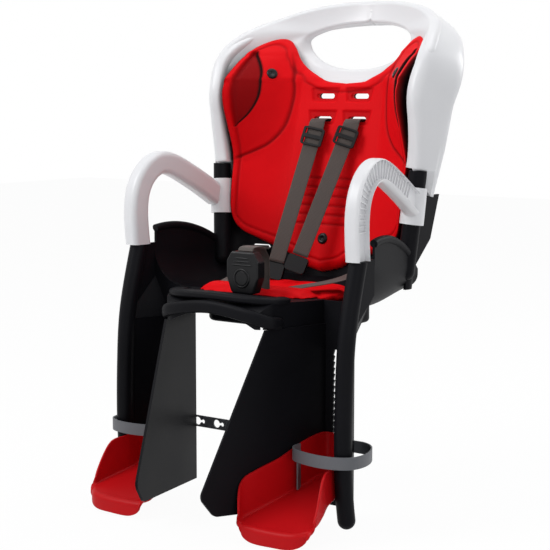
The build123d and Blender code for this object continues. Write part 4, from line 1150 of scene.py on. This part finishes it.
def tray(side):
    """Surface of a footrest: straight rays on the floor, an arc of radius RIM_BEND, then the wall's rest."""
    loop = smooth_loop(TRAY_LOOP, LOOP_POINTS)
    plan, height = loop[:, :2], loop[:, 2]
    ahead = unit(np.roll(plan, -1, 0) - np.roll(plan, 1, 0))
    normal = np.stack([ahead[:, 1], -ahead[:, 0]], -1)
    normal *= np.sign(((plan - TREAD_MIDDLE) * normal).sum(-1, keepdims=True))
    edge = plan - RIM_BEND * normal
    share = np.linspace(0.0, 1.0, TREAD_ROWS)[None, :, None]
    floor_plan = TREAD_MIDDLE + share * (edge[:, None] - TREAD_MIDDLE)
    last_turn = np.clip(height / RIM_TURN, -1.0, 1.0) * math.pi / 2
    turn = last_turn[:, None] * np.concatenate([np.linspace(0.05, 0.95, BEND_ROWS), np.ones(WALL_ROWS)])
    bend_run = np.full((len(loop), BEND_ROWS), RIM_BEND * math.pi / 2 / BEND_ROWS)
    wall_height = np.maximum(np.abs(height) - RIM_BEND, LEAST_WALL)
    wall_run = np.repeat(wall_height[:, None] / WALL_ROWS, WALL_ROWS, 1)
    run = np.concatenate([bend_run, wall_run], 1)
    outwards = np.cumsum(np.cos(turn) * run, 1)
    upwards = np.cumsum(np.sin(turn) * run, 1)
    rim_plan = edge[:, None] + outwards[..., None] * normal[:, None]
    plan = np.concatenate([floor_plan, rim_plan], 1)
    rise = np.concatenate([np.zeros(floor_plan.shape[:2]), upwards], 1)
    level = np.concatenate([floor_plan[..., 1], np.repeat(edge[:, 1:], turn.shape[1], 1)], 1)
    z = HEEL_Z + TREAD_SLOPE * (level - HEEL_Y) + rise
    return np.stack([side * plan[..., 0], plan[..., 1], z], -1).transpose(1, 0, 2)


print("tray", tray(1.0).shape)

# %% [markdown]
# The tray's wall is even, as an injection moulding needs, and its edges are broken so that they catch the
# light. Each tray rides on its own body, because it slides up and down in the leg guard.

# %% Footrests
TRAY_WALL = 0.0030
SOFT_EDGE = 0.0010
SOFT_SEGMENTS = 2
SOFT_ANGLE = math.radians(50.0)

for label, side in SIDES:
    node = f"footrest_{label}"
    foot_tray = grid_piece(f"foot_tray_{label}", tray(side), red_plastic, body=node, wrap=True)
    add_wall(foot_tray, TRAY_WALL)
    soft = foot_tray.modifiers.new("soft edge", "BEVEL")
    soft.width = SOFT_EDGE
    soft.segments = SOFT_SEGMENTS
    soft.limit_method = "ANGLE"
    soft.angle_limit = SOFT_ANGLE
    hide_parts(node)
    print(foot_tray.name, "points", len(foot_tray.data.vertices))

# %% [markdown]
# The front of the nose is a thin shelf with a soft roll above and an arched lip below, so the child's
# knees and the crotch strap meet no edge. Both are bars: a rounded profile carried along a curved path
# and drawn in at its ends.

# %% Nose
BAR_SQUARE = 0.7
BAR_END_POWER = 14
BAR_END_LEAST = 1e-4
NOSE_LIP = (
    (-0.101, -0.140, 0.025), (-0.096, -0.166, 0.028), (-0.070, -0.179, 0.037), (0.0, -0.184, 0.0455),
)
LIP_HALVES = (0.0095, 0.0065)
NOSE_ROLL = (
    (-0.098, -0.120, 0.056), (-0.088, -0.150, 0.057), (-0.058, -0.166, 0.059), (0.0, -0.172, 0.061),
)
ROLL_HALVES = (0.0060, 0.0120)


def bar(name, points, up_half, out_half, count=120):
    """Rounded bar along a path: a superellipse as profile, which shrinks to almost nothing at both ends."""
    path = smooth_path(points, count)
    tangent = unit(np.gradient(path, axis=0))
    up = unit(np.array([0.0, 0.0, 1.0]) - tangent[:, 2:] * tangent)
    out = np.cross(up, tangent)
    from_middle = np.abs(np.linspace(-1.0, 1.0, count))
    end = np.sqrt(np.maximum(1.0 - from_middle ** BAR_END_POWER, BAR_END_LEAST))[:, None, None]
    turn = once_round(40)
    high = up_half * squared(np.sin(turn), BAR_SQUARE)
    wide = out_half * squared(np.cos(turn), BAR_SQUARE)
    grid = path[:, None] + end * (high[None, :, None] * up[:, None] + wide[None, :, None] * out[:, None])
    piece = grid_piece(name, grid, shell_black, wrap=True, cap=True)
    print(name, grid.shape)


bar("nose_lip", mirrored(NOSE_LIP), *LIP_HALVES)
bar("nose_roll", mirrored(NOSE_ROLL), *ROLL_HALVES)

# %% [markdown]
# The buckle's body is a solid; on it sit a ring round the button, which is a turned profile, and three
# grip ridges above it, which are thin round bars half sunk in the face.

# %% Buckle details
BUCKLE_HALF = 0.0085
BUCKLE_FACE = BUCKLE_Y - BUCKLE_HALF
BUTTON_Z = 0.084
BUTTON_R = 0.011
COLLAR = (
    (0.0006, -0.0004), (0.0007, 0.0012), (0.0014, 0.0018), (0.0026, 0.0016), (0.0036, 0.0006),
    (0.0040, -0.0004), (0.0006, -0.0004),
)
GRIP_LEVELS = (0.1035, 0.1085, 0.1135)
GRIP_HALF = 0.019
GRIP_TAPER = 0.003
GRIP_R = 0.0013
GRIP_POINTS = 24
GRIP_END_POWER = 6
GRIP_END_LEAST = 0.02


def turned(name, profile, centre, axis, side):
    """Profile of (radius, height) pairs turned once round an axis through the centre."""
    axis, side = np.asarray(axis, float), np.asarray(side, float)
    angle = once_round(64)
    ring = np.cos(angle)[:, None] * side + np.sin(angle)[:, None] * np.cross(axis, side)
    radius, height = np.asarray(profile, float).T[..., None, None]
    grid = np.asarray(centre, float) + radius * ring[None] + height * axis
    piece = grid_piece(name, grid, trim_black, wrap=True)
    return piece


collar = [(BUTTON_R + out, high) for out, high in COLLAR]
turned("button_ring", collar, (CROTCH_X, BUCKLE_FACE, BUTTON_Z), (0, -1, 0), (1, 0, 0))

grip_turn = once_round(16)
from_middle = np.abs(np.linspace(-1, 1, GRIP_POINTS))
grip_r = GRIP_R * (np.sqrt(np.maximum(0.0, 1.0 - from_middle ** GRIP_END_POWER)) + GRIP_END_LEAST)[:, None]
for i, height in enumerate(GRIP_LEVELS):
    half = GRIP_HALF - GRIP_TAPER * i
    line = np.linspace(-half, half, GRIP_POINTS)[:, None]
    x, y, z = CROTCH_X + line, BUCKLE_FACE - grip_r * np.cos(grip_turn), height + grip_r * np.sin(grip_turn)
    grid = np.stack(np.broadcast_arrays(x, y, z), -1)
    grip = grid_piece(f"buckle_grip_{i}", grid, trim_black, wrap=True, cap=True)
print("buckle details", 1 + len(GRIP_LEVELS))

# %% [markdown]
# Push pins hold the pad to the shell. Each has a stepped head with a dished middle, which gives the rings
# that catch the light, and a shank behind it. It is one turned profile, set on the pad's surface along
# its normal; the low pin's shank is longer, because it goes through the shell.

# %% Pins
PIN_HEAD = (
    (0.0, 0.0010), (0.0026, 0.0011), (0.0033, 0.0022), (0.0062, 0.0027), (0.0084, 0.0018),
    (0.0094, -0.0004), (0.0092, -0.0016), (0.0036, -0.0018),
)
SHANK_R = 0.0034
PIN_PLACES = {"left": (-0.1184, 0.385, 0.010), "right": (0.1184, 0.385, 0.010), "low": (0.0, 0.1215, 0.024)}

face_normal = unit(np.cross(np.gradient(over, axis=0), np.gradient(over, axis=1)))
face_normal *= -np.sign(face_normal[..., 1:2])
for label, (pin_x, pin_z, shank) in PIN_PLACES.items():
    off_pin = np.hypot(over[..., 0] - pin_x, over[..., 2] - pin_z)
    nearest = np.unravel_index(off_pin.argmin(), off_pin.shape)
    axis = face_normal[nearest]
    side = unit(np.cross(axis, (0.0, 0.0, 1.0)))
    profile = PIN_HEAD + ((SHANK_R, -shank), (0.0, -shank))
    turned(f"pin_head_{label}", profile, over[nearest], axis, side)
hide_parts("pad_pins")
